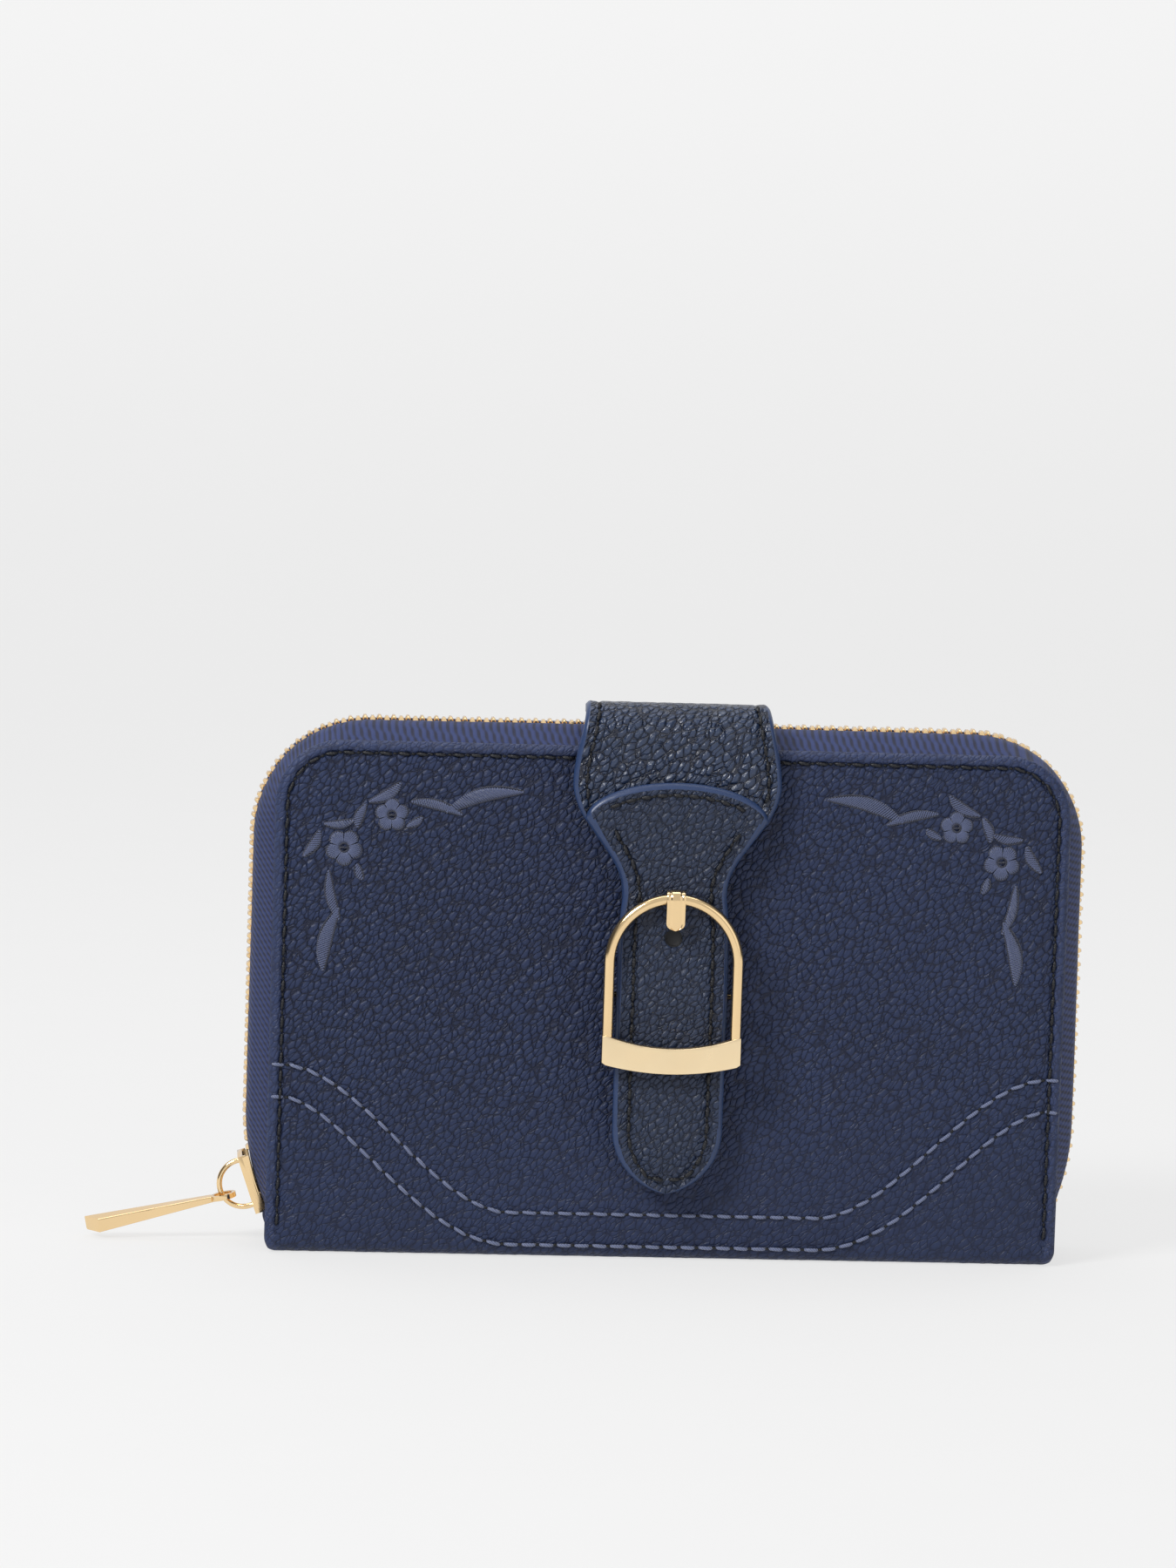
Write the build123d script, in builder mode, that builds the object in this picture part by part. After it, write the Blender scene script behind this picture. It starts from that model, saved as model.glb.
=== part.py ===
from build123d import *
import math
import os

# Zip around wallet standing on its spine. Millimetres, +Z up, the front faces -Y.
# Origin: centre of the underside of the spine.

# Covers
cover_width = 145.0
cover_height = 94.0
depth = 25.0
cover_corner = 12.0
leather = 1.0
board = 0.8
lining = 0.6
gap = 0.1
half_width = cover_width / 2
face_y = depth / 2
fold_radius = 2.5
fold_gap = 0.1

# Zip
zip_half_width = 75.9
zip_top = 96.7
zip_corner = 21.0
zip_bend_radius = 41.0
zip_bend_height = 25.0
zip_low_end = 3.2
seam_inset = 1.7
seam_bend_radius = 200.0
seam_allowance = 5.0
tape_thickness = 0.6
tape_edge_y = 1.5
tape_flat_y = 4.8
tape_seam_y = face_y - leather - gap
tooth_pitch = 2.6
tooth_length = 1.2
tooth_thickness = 2.2
tooth_outer_y = 2.4
tooth_inner_y = 0.6
grip_gap = 0.05
slider_height = 11.5
slider_length = 11.0
slider_width = 8.4
puller_end_x = -103.8
puller_end_z = 2.35
puller_roll = 38

# Strap over the top
strap_inner_y = face_y + 2.0
strap_thickness = 1.9
strap_top_z = 102.0
strap_bend = 5.0
strap_fold_z = 95.0
strap_back_fold_z = 88.0
strap_back_end_z = 70.0
tab_half_width = 17.0
tab_wide_half_width = 18.8
tab_end_z = 82.4
layer_thickness = 1.5
narrow_half_width = 10.0
narrow_tip_z = 13.1
backing_half_width = 9.4
neck_z = 68.0
flare_z = 82.4
flare_half_width = 16.6
flare_apex_z = 88.2
hole_z = 60.0
hole_radius = 1.6
buckle_y = 19.8
buckle_rod = 0.9
buckle_half_width = 11.65
buckle_arch_z = 55.7
buckle_bar_z = 42.4
snap_z = 24.0
snap_radius = 7.0
snap_post = 2.0
washer_radius = 6.1
washer_thickness = 0.7
stud_washer_radius = 5.2
stud_washer_thickness = 0.65

# Inside
inside_foot = 4.0
board_inset = 6.8
lining_inset = 4.5
slot_half_width = 57.5
slot_thickness = 0.6
slot_heights = {"upper": 70, "middle": 58, "lower": 46}
gusset_foot = 6.0
gusset_height = 62.0
gusset_thickness = 0.5
pocket_half_width = 58.0
pocket_half_depth = 3.0
pocket_wall = 0.7
pocket_height = 74.0
coin_zip_z = 74.6
coin_tape = 0.4
coin_pitch = 2.0

os.makedirs("parts", exist_ok=True)


def front(y):
    """Vertical plane that faces the front, at the given distance before the middle."""
    return Plane.XZ.offset(y)


def save(piece, name):
    """Labels a finished piece and writes its file."""
    piece.part.label = name
    export_step(piece.part, f"parts/{name}.step")


def cover_outline(inset, low):
    """Cover seen from the front: two rounded top corners and a square foot."""
    with BuildLine() as outline:
        Polyline(
            (half_width - inset, low),
            (half_width - inset, cover_height - inset),
            (inset - half_width, cover_height - inset),
            (inset - half_width, low),
            close=True,
        )
        fillet(outline.vertices().sort_by(Axis.Y)[-2:], cover_corner - inset)
    return outline.line


def zip_outline(half, top, corner, bend, low, closed=True):
    """Run of the zip seen from the front: straight sides that curl in towards the foot."""
    curl = math.degrees(math.asin((zip_bend_height - low) / bend))
    with BuildLine() as outline:
        first = CenterArc((half - bend, zip_bend_height), bend, -curl, curl)
        Line((half, zip_bend_height), (half, top - corner))
        CenterArc((half - corner, top - corner), corner, 0, 90)
        Line((half - corner, top), (corner - half, top))
        CenterArc((corner - half, top - corner), corner, 90, 90)
        Line((-half, top - corner), (-half, zip_bend_height))
        last = CenterArc((bend - half, zip_bend_height), bend, 180, curl)
        if closed:
            Line(last @ 1, first @ 0)
    return outline.line


def teeth_outline(shift, low):
    """Zip run at the teeth, moved outwards by shift."""
    return zip_outline(
        zip_half_width + shift, zip_top + shift, zip_corner + shift, zip_bend_radius + shift, low
    )


def seam_outline(shift, low):
    """Zip run where the tape enters the cover, moved outwards by shift."""
    moved = shift - seam_inset
    return zip_outline(
        half_width + moved, cover_height + moved, cover_corner + moved, seam_bend_radius + shift, low
    )


# --- Covers -----------------------------------------------------------------

with BuildPart() as front_leather:
    with BuildSketch(front(face_y - leather)):
        make_face(cover_outline(0, fold_radius + fold_gap))
        with Locations((0, snap_z)):
            Circle(snap_post + 2 * gap, mode=Mode.SUBTRACT)
    extrude(amount=leather)
save(front_leather, "front_leather")

with BuildPart() as back_leather:
    with BuildSketch(front(-face_y)):
        make_face(cover_outline(0, fold_radius))
    extrude(amount=leather)
    with BuildSketch(Plane.YZ.offset(-half_width)):
        with Locations((0, fold_radius)):
            Rectangle(depth, 2 * fold_radius)
        with Locations((0, fold_radius + leather)):
            Rectangle(depth - 2 * leather, 2 * fold_radius, mode=Mode.SUBTRACT)
        with Locations((0, 1.5 * fold_radius)):
            Rectangle(2 * depth, fold_radius, mode=Mode.SUBTRACT)
    extrude(amount=cover_width)
    fillet(back_leather.edges().filter_by(Axis.X).group_by(Axis.Z)[0], fold_radius - 0.2)
save(back_leather, "back_leather")

for side, name in ((1, "front_board"), (-1, "back_board")):
    with BuildPart() as cover_board:
        near = face_y - leather - gap if side > 0 else gap + leather - face_y
        with BuildSketch(front(near)):
            make_face(cover_outline(board_inset, inside_foot + 1))
            if side > 0:
                with Locations((0, snap_z)):
                    Circle(washer_radius + 2 * gap, mode=Mode.SUBTRACT)
        extrude(amount=-side * board)
    save(cover_board, name)

with BuildPart() as spine_board:
    with BuildSketch(Plane.XY.offset(leather + gap)):
        RectangleRounded(cover_width - 2 * inside_foot, depth - 7, 2)
    extrude(amount=board)
save(spine_board, "spine_board")

lining_y = face_y - leather - board - 2 * gap
with BuildPart() as front_lining:
    with BuildSketch(front(lining_y)):
        make_face(cover_outline(lining_inset, inside_foot - 0.5))
    extrude(amount=-lining)
save(front_lining, "front_lining")

spine_lining_z = leather + board + 2 * gap
with BuildPart() as back_lining:
    with BuildSketch(front(-lining_y)):
        make_face(cover_outline(lining_inset, spine_lining_z))
    extrude(amount=lining)
    with BuildSketch(Plane.XY.offset(spine_lining_z)):
        with Locations((0, 0.5)):
            Rectangle(cover_width - 2 * lining_inset, 2 * lining_y - 1)
    extrude(amount=lining)
save(back_lining, "back_lining")

# --- Zip round the edge ------------------------------------------------------

half_tape = tape_thickness / 2
with BuildPart() as front_zip_tape:
    for y, outline in (
        (tape_edge_y, teeth_outline(half_tape, zip_low_end)),
        (tape_flat_y, teeth_outline(half_tape, zip_low_end)),
        (tape_seam_y, seam_outline(half_tape, zip_low_end)),
    ):
        with BuildSketch(front(y)):
            make_face(outline)
    loft(ruled=True)
    for y, outline in (
        (tape_edge_y, teeth_outline(-half_tape, zip_low_end - 1)),
        (tape_flat_y, teeth_outline(-half_tape, zip_low_end - 1)),
        (tape_seam_y, seam_outline(-half_tape, zip_low_end - 1)),
    ):
        with BuildSketch(front(y)):
            make_face(outline)
    loft(ruled=True, mode=Mode.SUBTRACT)
    with BuildSketch(front(tape_seam_y)):
        make_face(cover_outline(seam_inset - gap, zip_low_end))
        make_face(
            cover_outline(seam_inset + seam_allowance - gap, zip_low_end - 1), mode=Mode.SUBTRACT
        )
    extrude(amount=-tape_thickness)
save(front_zip_tape, "front_zip_tape")

with BuildPart() as back_zip_tape:
    mirror(front_zip_tape.part, about=Plane.XZ)
save(back_zip_tape, "back_zip_tape")

zip_run = zip_outline(
    zip_half_width, zip_top, zip_corner, zip_bend_radius, zip_low_end, closed=False
)
zip_line = Wire(zip_run.edges())
slider_clear_z = slider_height + slider_length / 2 + 1.5


def tooth_places(offset):
    """Places along the zip, one pitch apart, between the right end and the slider."""
    places = []
    count = int(zip_line.length / tooth_pitch)
    for index in range(2, count):
        distance = (index + offset) * tooth_pitch
        point = zip_line.position_at(distance, position_mode=PositionMode.LENGTH)
        heading = zip_line.tangent_angle_at(distance, position_mode=PositionMode.LENGTH)
        if point.X > 0 or point.Y > slider_clear_z:
            places.append(Location((point.X, point.Y), heading))
    return places


def teeth_row(side, places):
    """One row of separate teeth, each with a slot that grips the edge of its tape."""
    with BuildPart() as row:
        with BuildSketch(front(-side * tooth_inner_y)):
            with Locations(*places):
                Rectangle(tooth_length, tooth_thickness)
        extrude(amount=side * (tooth_outer_y + tooth_inner_y))
        with BuildSketch(front(side * (tooth_outer_y + 1))):
            make_face(teeth_outline(half_tape + grip_gap, zip_low_end - 2))
            make_face(teeth_outline(-half_tape - grip_gap, zip_low_end - 3), mode=Mode.SUBTRACT)
        extrude(amount=-side * (tooth_outer_y + 1 - tape_edge_y + grip_gap), mode=Mode.SUBTRACT)
    return row


save(teeth_row(1, tooth_places(0)), "front_zip_teeth")
save(teeth_row(-1, tooth_places(0.5)), "back_zip_teeth")

slider_lean = math.asin((zip_bend_height - slider_height) / zip_bend_radius)
slider_x = zip_bend_radius * (1 - math.cos(slider_lean)) - zip_half_width
slider_plane = Plane(
    origin=(slider_x, 0, slider_height),
    x_dir=(-math.cos(slider_lean), 0, -math.sin(slider_lean)),
    z_dir=(-math.sin(slider_lean), 0, math.cos(slider_lean)),
)
plate = 0.9
plate_middle = 1.85
crown_reach = 7.3
crown_foot = 4.2
crown_rod = 0.5
tape_slot = 0.8
lip_width = 0.6
wedge_width = 1.6
wedge_length = 3.0


def slider_block(length, width):
    """Two plates, side lips with a slot for the tape, and the wedge that parts the teeth."""
    with Locations((plate_middle, 0, 0), (-plate_middle, 0, 0)):
        Box(plate, width, length)
    lip = plate_middle - plate / 2 - tape_slot
    for across in (-1, 1):
        for level in (-1, 1):
            lip_y = across * (width - lip_width) / 2
            with Locations((level * (tape_slot + lip / 2), lip_y, 0)):
                Box(lip, lip_width, length)
    with Locations((0, 0, (wedge_length - length) / 2)):
        Box(2 * plate_middle, wedge_width, wedge_length)


with BuildPart(slider_plane) as zip_slider_body:
    slider_block(slider_length, slider_width)
    crown_plane = Plane(
        origin=slider_plane.origin, x_dir=slider_plane.x_dir, z_dir=-slider_plane.y_dir
    )
    with BuildLine(crown_plane) as crown:
        ThreePointArc((plate_middle, -crown_foot), (crown_reach, 0), (plate_middle, crown_foot))
    with BuildSketch(Plane(crown.line @ 0, z_dir=crown.line % 0)):
        Circle(crown_rod)
    sweep(path=crown.line)
save(zip_slider_body, "zip_slider_body")

# The eye of the puller runs on the crown, a little below its outermost point.
crown_chord = crown_reach - plate_middle
crown_radius = (crown_foot**2 + crown_chord**2) / (2 * crown_chord)
crown_centre = crown_reach - crown_radius
eye_turn = math.radians(15)
eye_out = crown_centre + crown_radius * math.cos(eye_turn)
eye_down = crown_radius * math.sin(eye_turn)
eye = slider_plane.from_local_coords(Vector(eye_out, 0, -eye_down))
puller_run = math.hypot(puller_end_x - eye.X, puller_end_z - eye.Z)
puller_dir = Vector(puller_end_x - eye.X, 0, puller_end_z - eye.Z).normalized()
eye_normal = puller_dir.cross(Vector(0, 1, 0))
eye_outer = 2.4
eye_hole = 1.7
eye_thickness = 0.9
bar_sections = ((eye_hole + 0.2, 2.0, 1.1), (puller_run, 4.2, 2.6))

with BuildPart() as zip_puller:
    with BuildSketch(Plane(eye, x_dir=puller_dir, z_dir=eye_normal)):
        Circle(eye_outer)
        Circle(eye_hole, mode=Mode.SUBTRACT)
    extrude(amount=eye_thickness / 2, both=True)
    for distance, wide, thick in bar_sections:
        section = Plane(eye + puller_dir * distance, x_dir=(0, 1, 0), z_dir=puller_dir)
        with BuildSketch(section.rotated((0, 0, puller_roll))):
            RectangleRounded(wide, thick, 0.3)
    loft()
save(zip_puller, "zip_puller")

stop_height = 1.6
stop_width = 2.4
stop_z = 4.6
tail_stop_x = 68.0
stop_lean = math.asin((zip_bend_height - stop_z) / zip_bend_radius)
stop_x = zip_half_width - zip_bend_radius * (1 - math.cos(stop_lean))

for side, name in ((1, "front_zip_stop"), (-1, "back_zip_stop")):
    with BuildPart() as zip_stop:
        with BuildSketch(front(side * gap)):
            with Locations((-tail_stop_x, stop_z)):
                Rectangle(stop_width - 0.4, stop_height)
        extrude(amount=side * (tape_edge_y - 2 * gap))
    save(zip_stop, name)

with BuildPart() as zip_box_stop:
    with BuildSketch(front(tape_edge_y - gap)):
        with Locations((stop_x, stop_z)):
            Rectangle(stop_width, stop_height)
    extrude(amount=-2 * (tape_edge_y - gap))
save(zip_box_stop, "zip_box_stop")

# --- Inside: card slots, gussets, coin pocket --------------------------------

slot_y = lining_y - lining - gap
for side, cover in ((1, "front"), (-1, "back")):
    for step, level in enumerate(slot_heights):
        near = slot_y - step * (slot_thickness + gap)
        with BuildPart() as card_slot:
            with BuildSketch(front(side * near)):
                with Locations((0, inside_foot + slot_heights[level] / 2)):
                    RectangleRounded(2 * slot_half_width, slot_heights[level], 1.5)
            extrude(amount=-side * slot_thickness)
        save(card_slot, f"{cover}_{level}_card_slot")

gusset_folds = ((-60, -9.6), (-68, -4.9), (-59.2, 0), (-68, 4.9), (-60, 9.6))
for side, name in ((1, "left_gusset"), (-1, "right_gusset")):
    with BuildPart() as gusset:
        with BuildSketch(Plane.XY.offset(gusset_foot)):
            with BuildLine():
                Polyline(*[(side * x, y) for x, y in gusset_folds])
            trace(line_width=gusset_thickness)
        extrude(amount=gusset_height)
    save(gusset, name)

for side, name in ((1, "coin_pocket_front"), (-1, "coin_pocket_back")):
    with BuildPart() as pocket_wall_part:
        with BuildSketch(front(side * pocket_half_depth)):
            with Locations((0, inside_foot + pocket_height / 2)):
                RectangleRounded(2 * pocket_half_width, pocket_height, 2)
        extrude(amount=-side * pocket_wall)
    save(pocket_wall_part, name)

coin_tape_inner_y = 1.2
coin_tape_width = 1.0
for side, name in ((1, "coin_zip_tape_front"), (-1, "coin_zip_tape_back")):
    with BuildPart() as coin_zip_tape:
        with BuildSketch(Plane.XY.offset(coin_zip_z)):
            with Locations((0, -side * (coin_tape_inner_y + coin_tape_width / 2))):
                Rectangle(2 * pocket_half_width - 8, coin_tape_width)
        extrude(amount=coin_tape)
    save(coin_zip_tape, name)

coin_tooth = 0.9
coin_tooth_reach = 1.2
coin_slider_length = 7.0
coin_slider_width = 3.7
coin_plate = 0.7
coin_plate_z = 1.2
coin_run = 2 * pocket_half_width - 12
coin_slider_x = 3 - coin_run / 2
coin_tooth_count = int((coin_run - 9) / coin_pitch)
with BuildPart() as coin_zip_teeth:
    with BuildSketch(Plane.XY.offset(coin_zip_z + (coin_tape - coin_tooth_reach) / 2)):
        for index in range(coin_tooth_count):
            x = coin_slider_x + 5 + index * coin_pitch
            with Locations((x, -0.5), (x + coin_pitch / 2, 0.5)):
                Rectangle(coin_tooth, coin_tooth_reach)
    extrude(amount=coin_tooth_reach)
save(coin_zip_teeth, "coin_zip_teeth")

coin_slider_level = coin_zip_z + coin_tape / 2
bail_foot_x = 1.8
bail_foot_z = 2.4
bail_top_z = 3.5
bail_width = 1.6
with BuildPart(Plane.XY.offset(coin_slider_level)) as coin_zip_slider:
    with Locations((coin_slider_x, 0, coin_plate_z), (coin_slider_x, 0, -coin_plate_z)):
        Box(coin_slider_length, coin_slider_width, coin_plate)
    with Locations((coin_slider_x - 2.6, 0, 0)):
        Box(1.6, 1.8, 2 * coin_plate_z)
    with Locations(
        (coin_slider_x - bail_foot_x, 0, bail_foot_z), (coin_slider_x + bail_foot_x, 0, bail_foot_z)
    ):
        Box(0.8, bail_width, 2.0)
    with Locations((coin_slider_x, 0, bail_top_z)):
        Box(2 * bail_foot_x + 0.8, bail_width, 0.6)
save(coin_zip_slider, "coin_zip_slider")

coin_puller_width = 3.6
coin_puller_thickness = 0.8
coin_puller_side_y = (coin_puller_width - coin_puller_thickness) / 2
with BuildPart(Plane.XY.offset(coin_slider_level + bail_foot_z)) as coin_zip_puller:
    with Locations((coin_slider_x, 0, 0)):
        Box(1.0, coin_puller_width, coin_puller_thickness)
    with Locations(
        (coin_slider_x + 6.6, coin_puller_side_y, 0), (coin_slider_x + 6.6, -coin_puller_side_y, 0)
    ):
        Box(14.2, coin_puller_thickness, coin_puller_thickness)
    with Locations((coin_slider_x + 9.6, 0, 0)):
        Box(8.2, coin_puller_width, coin_puller_thickness)
save(coin_zip_puller, "coin_zip_puller")

# --- Strap over the top, with its buckle -------------------------------------

strap_middle = strap_inner_y + strap_thickness / 2
strap_back_y = face_y + gap + strap_thickness / 2

with BuildPart() as strap_back:
    with BuildSketch(front(gap - strap_back_y - strap_thickness / 2)):
        with Locations((0, (strap_back_end_z + strap_back_fold_z) / 2 - fold_gap)):
            RectangleRounded(2 * tab_half_width, strap_back_fold_z - strap_back_end_z, 3)
    extrude(amount=strap_thickness)
save(strap_back, "strap_back")

with BuildPart() as strap_top:
    with BuildSketch(Plane.YZ.offset(-tab_half_width)):
        with BuildLine() as over:
            middle_z = strap_top_z - strap_thickness / 2
            Polyline(
                (strap_back_y, strap_back_fold_z),
                (strap_back_y, middle_z),
                (-strap_middle, middle_z),
                (-strap_middle, strap_fold_z),
            )
            fillet(over.vertices().group_by(Axis.Y)[0].sort_by(Axis.Z)[-1:], strap_bend)
            fillet(over.vertices().group_by(Axis.Y)[-1].sort_by(Axis.Z)[-1:], strap_bend)
        trace(line_width=strap_thickness)
    extrude(amount=2 * tab_half_width)
save(strap_top, "strap_top")


def narrow_strap(half, tip_z):
    """Right half of the buckle strap: concave neck, straight sides and a pointed end."""
    shoulder_z = tip_z + 11.7
    with BuildLine() as edge:
        Line((0, flare_apex_z), (0, tip_z))
        Spline((0, tip_z), (half * 0.5, tip_z + 2.1), (half * 0.87, tip_z + 6.6), (half, shoulder_z))
        Line((half, shoulder_z), (half, neck_z))
        Spline(
            (half, neck_z),
            (half + 0.4, neck_z + 5),
            (half + 2.3, neck_z + 7.6),
            (half + 4.9, neck_z + 10.4),
            (flare_half_width, flare_z),
        )
        ThreePointArc((flare_half_width, flare_z), (half - 1.3, flare_apex_z - 1.4), (0, flare_apex_z))
    return edge.line


with BuildPart() as strap_front:
    with BuildSketch(front(strap_inner_y)) as strap_front_outline:
        with BuildLine():
            Line((0, strap_fold_z - fold_gap), (tab_half_width, strap_fold_z - fold_gap))
            Spline(
                (tab_half_width, strap_fold_z - fold_gap),
                (tab_wide_half_width, 90),
                (tab_half_width - 0.4, tab_end_z),
            )
            Line((tab_half_width - 0.4, tab_end_z), (narrow_half_width, neck_z + 8))
            Line((narrow_half_width, neck_z + 8), (backing_half_width, snap_z + 1))
            Line((backing_half_width, snap_z + 1), (0, narrow_tip_z + 0.9))
            Line((0, narrow_tip_z + 0.9), (0, strap_fold_z - fold_gap))
        make_face()
        mirror(about=Plane.YZ)
        with Locations((0, snap_z)):
            Circle(snap_post + gap, mode=Mode.SUBTRACT)
    extrude(amount=strap_thickness)
    with BuildSketch(front(strap_inner_y + strap_thickness)):
        with Locations((0, snap_z)):
            Circle(stud_washer_radius + gap)
    extrude(amount=-(stud_washer_thickness + gap + 0.05), mode=Mode.SUBTRACT)
save(strap_front, "strap_front")

layer_y = strap_inner_y + strap_thickness + gap
with BuildPart() as buckle_strap:
    with BuildSketch(front(layer_y)):
        make_face(narrow_strap(narrow_half_width, narrow_tip_z))
        mirror(about=Plane.YZ)
        with Locations((0, hole_z)):
            Circle(hole_radius, mode=Mode.SUBTRACT)
    extrude(amount=layer_thickness)
save(buckle_strap, "buckle_strap")

bar_half = 12.45
bar_height = 5.3
bar_sag = 2.1
bar_ends = (buckle_bar_z - bar_height, buckle_bar_z)
bar_middle = (bar_ends[0] - bar_sag, bar_ends[1] - bar_sag)
centre_bar_z = 49.0
centre_bar_y = strap_inner_y - 0.6
centre_bar_thickness = 0.8
centre_bar_height = 1.6
centre_bar_back = centre_bar_y - centre_bar_thickness / 2
with BuildPart() as buckle_frame:
    with BuildLine(front(buckle_y)) as arch:
        Line((-buckle_half_width, buckle_bar_z - 1), (-buckle_half_width, buckle_arch_z))
        ThreePointArc(
            (-buckle_half_width, buckle_arch_z),
            (0, buckle_arch_z + buckle_half_width),
            (buckle_half_width, buckle_arch_z),
        )
        Line((buckle_half_width, buckle_arch_z), (buckle_half_width, buckle_bar_z - 1))
    with BuildSketch(Plane(arch.line @ 0, z_dir=arch.line % 0)):
        Circle(buckle_rod)
    sweep(path=arch.line)
    with BuildSketch(front(buckle_y - buckle_rod)):
        with BuildLine():
            Line((-bar_half, bar_ends[0]), (-bar_half, bar_ends[1]))
            ThreePointArc((-bar_half, bar_ends[1]), (0, bar_middle[1]), (bar_half, bar_ends[1]))
            Line((bar_half, bar_ends[1]), (bar_half, bar_ends[0]))
            ThreePointArc((bar_half, bar_ends[0]), (0, bar_middle[0]), (-bar_half, bar_ends[0]))
        make_face()
    extrude(amount=2 * buckle_rod)
    with BuildSketch(front(centre_bar_back)):
        with Locations((-buckle_half_width, centre_bar_z), (buckle_half_width, centre_bar_z)):
            Rectangle(1.2, centre_bar_height)
    extrude(amount=buckle_y - centre_bar_back)
    with BuildSketch(front(centre_bar_back)):
        with Locations((0, centre_bar_z)):
            Rectangle(2 * buckle_half_width, centre_bar_height)
    extrude(amount=centre_bar_thickness)
save(buckle_frame, "buckle_frame")

prong_half = 1.67
collar_inner = buckle_rod + 0.2
collar_outer = collar_inner + 0.6
tongue_length = 6.2
tongue_thickness = 0.8
arch_top_z = buckle_arch_z + buckle_half_width
with BuildPart() as buckle_prong:
    with BuildSketch(Plane.YZ.offset(-prong_half)):
        with Locations((-buckle_y, arch_top_z)):
            Circle(collar_outer)
            Circle(collar_inner, mode=Mode.SUBTRACT)
    extrude(amount=2 * prong_half)
    with BuildSketch(front(buckle_y + collar_inner - 0.1)):
        with Locations((0, arch_top_z - gap - tongue_length / 2)):
            RectangleRounded(2 * prong_half, tongue_length, tongue_thickness)
    extrude(amount=tongue_thickness)
save(buckle_prong, "buckle_prong")

with BuildPart() as snap_stud:
    with BuildSketch(front(strap_inner_y - 0.85)):
        with Locations((0, snap_z)):
            Circle(snap_radius)
    extrude(amount=0.75)
    with BuildSketch(front(strap_inner_y - gap)):
        with Locations((0, snap_z)):
            Circle(snap_post)
    extrude(amount=strap_thickness)
save(snap_stud, "snap_stud")

with BuildPart() as snap_stud_washer:
    with BuildSketch(front(strap_inner_y + strap_thickness - stud_washer_thickness - gap)):
        with Locations((0, snap_z)):
            Circle(stud_washer_radius)
            Circle(snap_post + 0.05, mode=Mode.SUBTRACT)
    extrude(amount=stud_washer_thickness)
save(snap_stud_washer, "snap_stud_washer")

with BuildPart() as snap_socket:
    with BuildSketch(front(face_y + 0.05)):
        with Locations((0, snap_z)):
            Circle(snap_radius)
    extrude(amount=0.95)
    with BuildSketch(front(face_y + gap)):
        with Locations((0, snap_z)):
            Circle(snap_post)
    extrude(amount=-(leather + board + gap))
save(snap_socket, "snap_socket")

with BuildPart() as snap_socket_washer:
    with BuildSketch(front(face_y - leather - gap)):
        with Locations((0, snap_z)):
            Circle(washer_radius)
            Circle(snap_post + 0.05, mode=Mode.SUBTRACT)
    extrude(amount=-washer_thickness)
save(snap_socket_washer, "snap_socket_washer")

# --- Thread on the front cover ------------------------------------------------

thread_width = 0.6
thread_height = 0.3
thread_inset = 2.0
thread_plane = front(face_y + 0.02)
with BuildPart() as edge_stitching:
    with BuildSketch(thread_plane):
        make_face(cover_outline(thread_inset, inside_foot))
        make_face(cover_outline(thread_inset + thread_width, inside_foot - 1), mode=Mode.SUBTRACT)
    extrude(amount=thread_height)
save(edge_stitching, "edge_stitching")

wave_flat = 28.0
wave_run = 42.0
wave_rise = 26.3
wave_low = 7.8
wave_spacing = 5.9
wave_end_x = 69.5
wave_knots = (wave_flat, wave_flat + 10, wave_flat + 21, wave_flat + 32, wave_end_x)


def wave_height(x, drop):
    """Height of a wave line: flat in the middle, rising in an S towards both sides."""
    share = min(max((abs(x) - wave_flat) / wave_run, 0), 1)
    return wave_low - drop + wave_rise * share * share * (3 - 2 * share)


with BuildPart() as wave_stitching:
    for drop in (0, wave_spacing):
        for side in (-1, 1):
            with BuildSketch(thread_plane):
                with BuildLine():
                    start = wave_flat / 2 if drop == 0 else thread_width / 3
                    knots = [(side * x, wave_height(x, drop)) for x in (start, *wave_knots)]
                    Spline(*[(x, max(z, zip_low_end)) for x, z in knots])
                trace(line_width=thread_width)
            extrude(amount=thread_height)
save(wave_stitching, "wave_stitching")

flower_places = ((51.4, 80.7, 2.6), (59.9, 74.6, 2.9))
leaf_places = (
    (52.8, 85.2, 5.5, 150),
    (64.0, 69.0, 5.5, 100),
    (42.0, 82.2, 9.0, 15),
    (61.2, 62.5, 11.0, 95),
)
with BuildPart() as corner_embroidery:
    with BuildSketch(thread_plane):
        for x, z, reach in flower_places:
            with Locations((x, z)):
                Circle(reach * 0.45)
                with PolarLocations(reach * 0.62, 5):
                    Circle(reach * 0.36)
        for x, z, length, turn in leaf_places:
            with Locations(Location((x, z), turn)):
                Ellipse(length / 2, length / 7)
        mirror(about=Plane.YZ)
    extrude(amount=thread_height)
save(corner_embroidery, "corner_embroidery")
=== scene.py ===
import math
import random

import bmesh
import bpy
from mathutils import Matrix, Vector, noise


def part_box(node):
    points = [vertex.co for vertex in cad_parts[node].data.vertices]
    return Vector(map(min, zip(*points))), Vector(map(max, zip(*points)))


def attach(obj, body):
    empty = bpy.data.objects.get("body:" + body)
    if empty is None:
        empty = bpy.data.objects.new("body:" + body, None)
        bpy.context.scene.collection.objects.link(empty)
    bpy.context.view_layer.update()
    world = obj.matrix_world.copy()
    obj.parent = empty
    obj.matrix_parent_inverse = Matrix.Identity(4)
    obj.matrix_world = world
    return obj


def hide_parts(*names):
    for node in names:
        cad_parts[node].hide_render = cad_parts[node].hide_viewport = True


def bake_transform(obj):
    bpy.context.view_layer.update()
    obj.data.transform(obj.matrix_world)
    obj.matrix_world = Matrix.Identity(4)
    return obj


# Looks of the zip around wallet. Lengths are millimetres until a mesh is written, which is in metres.
MM = 0.001

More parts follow.
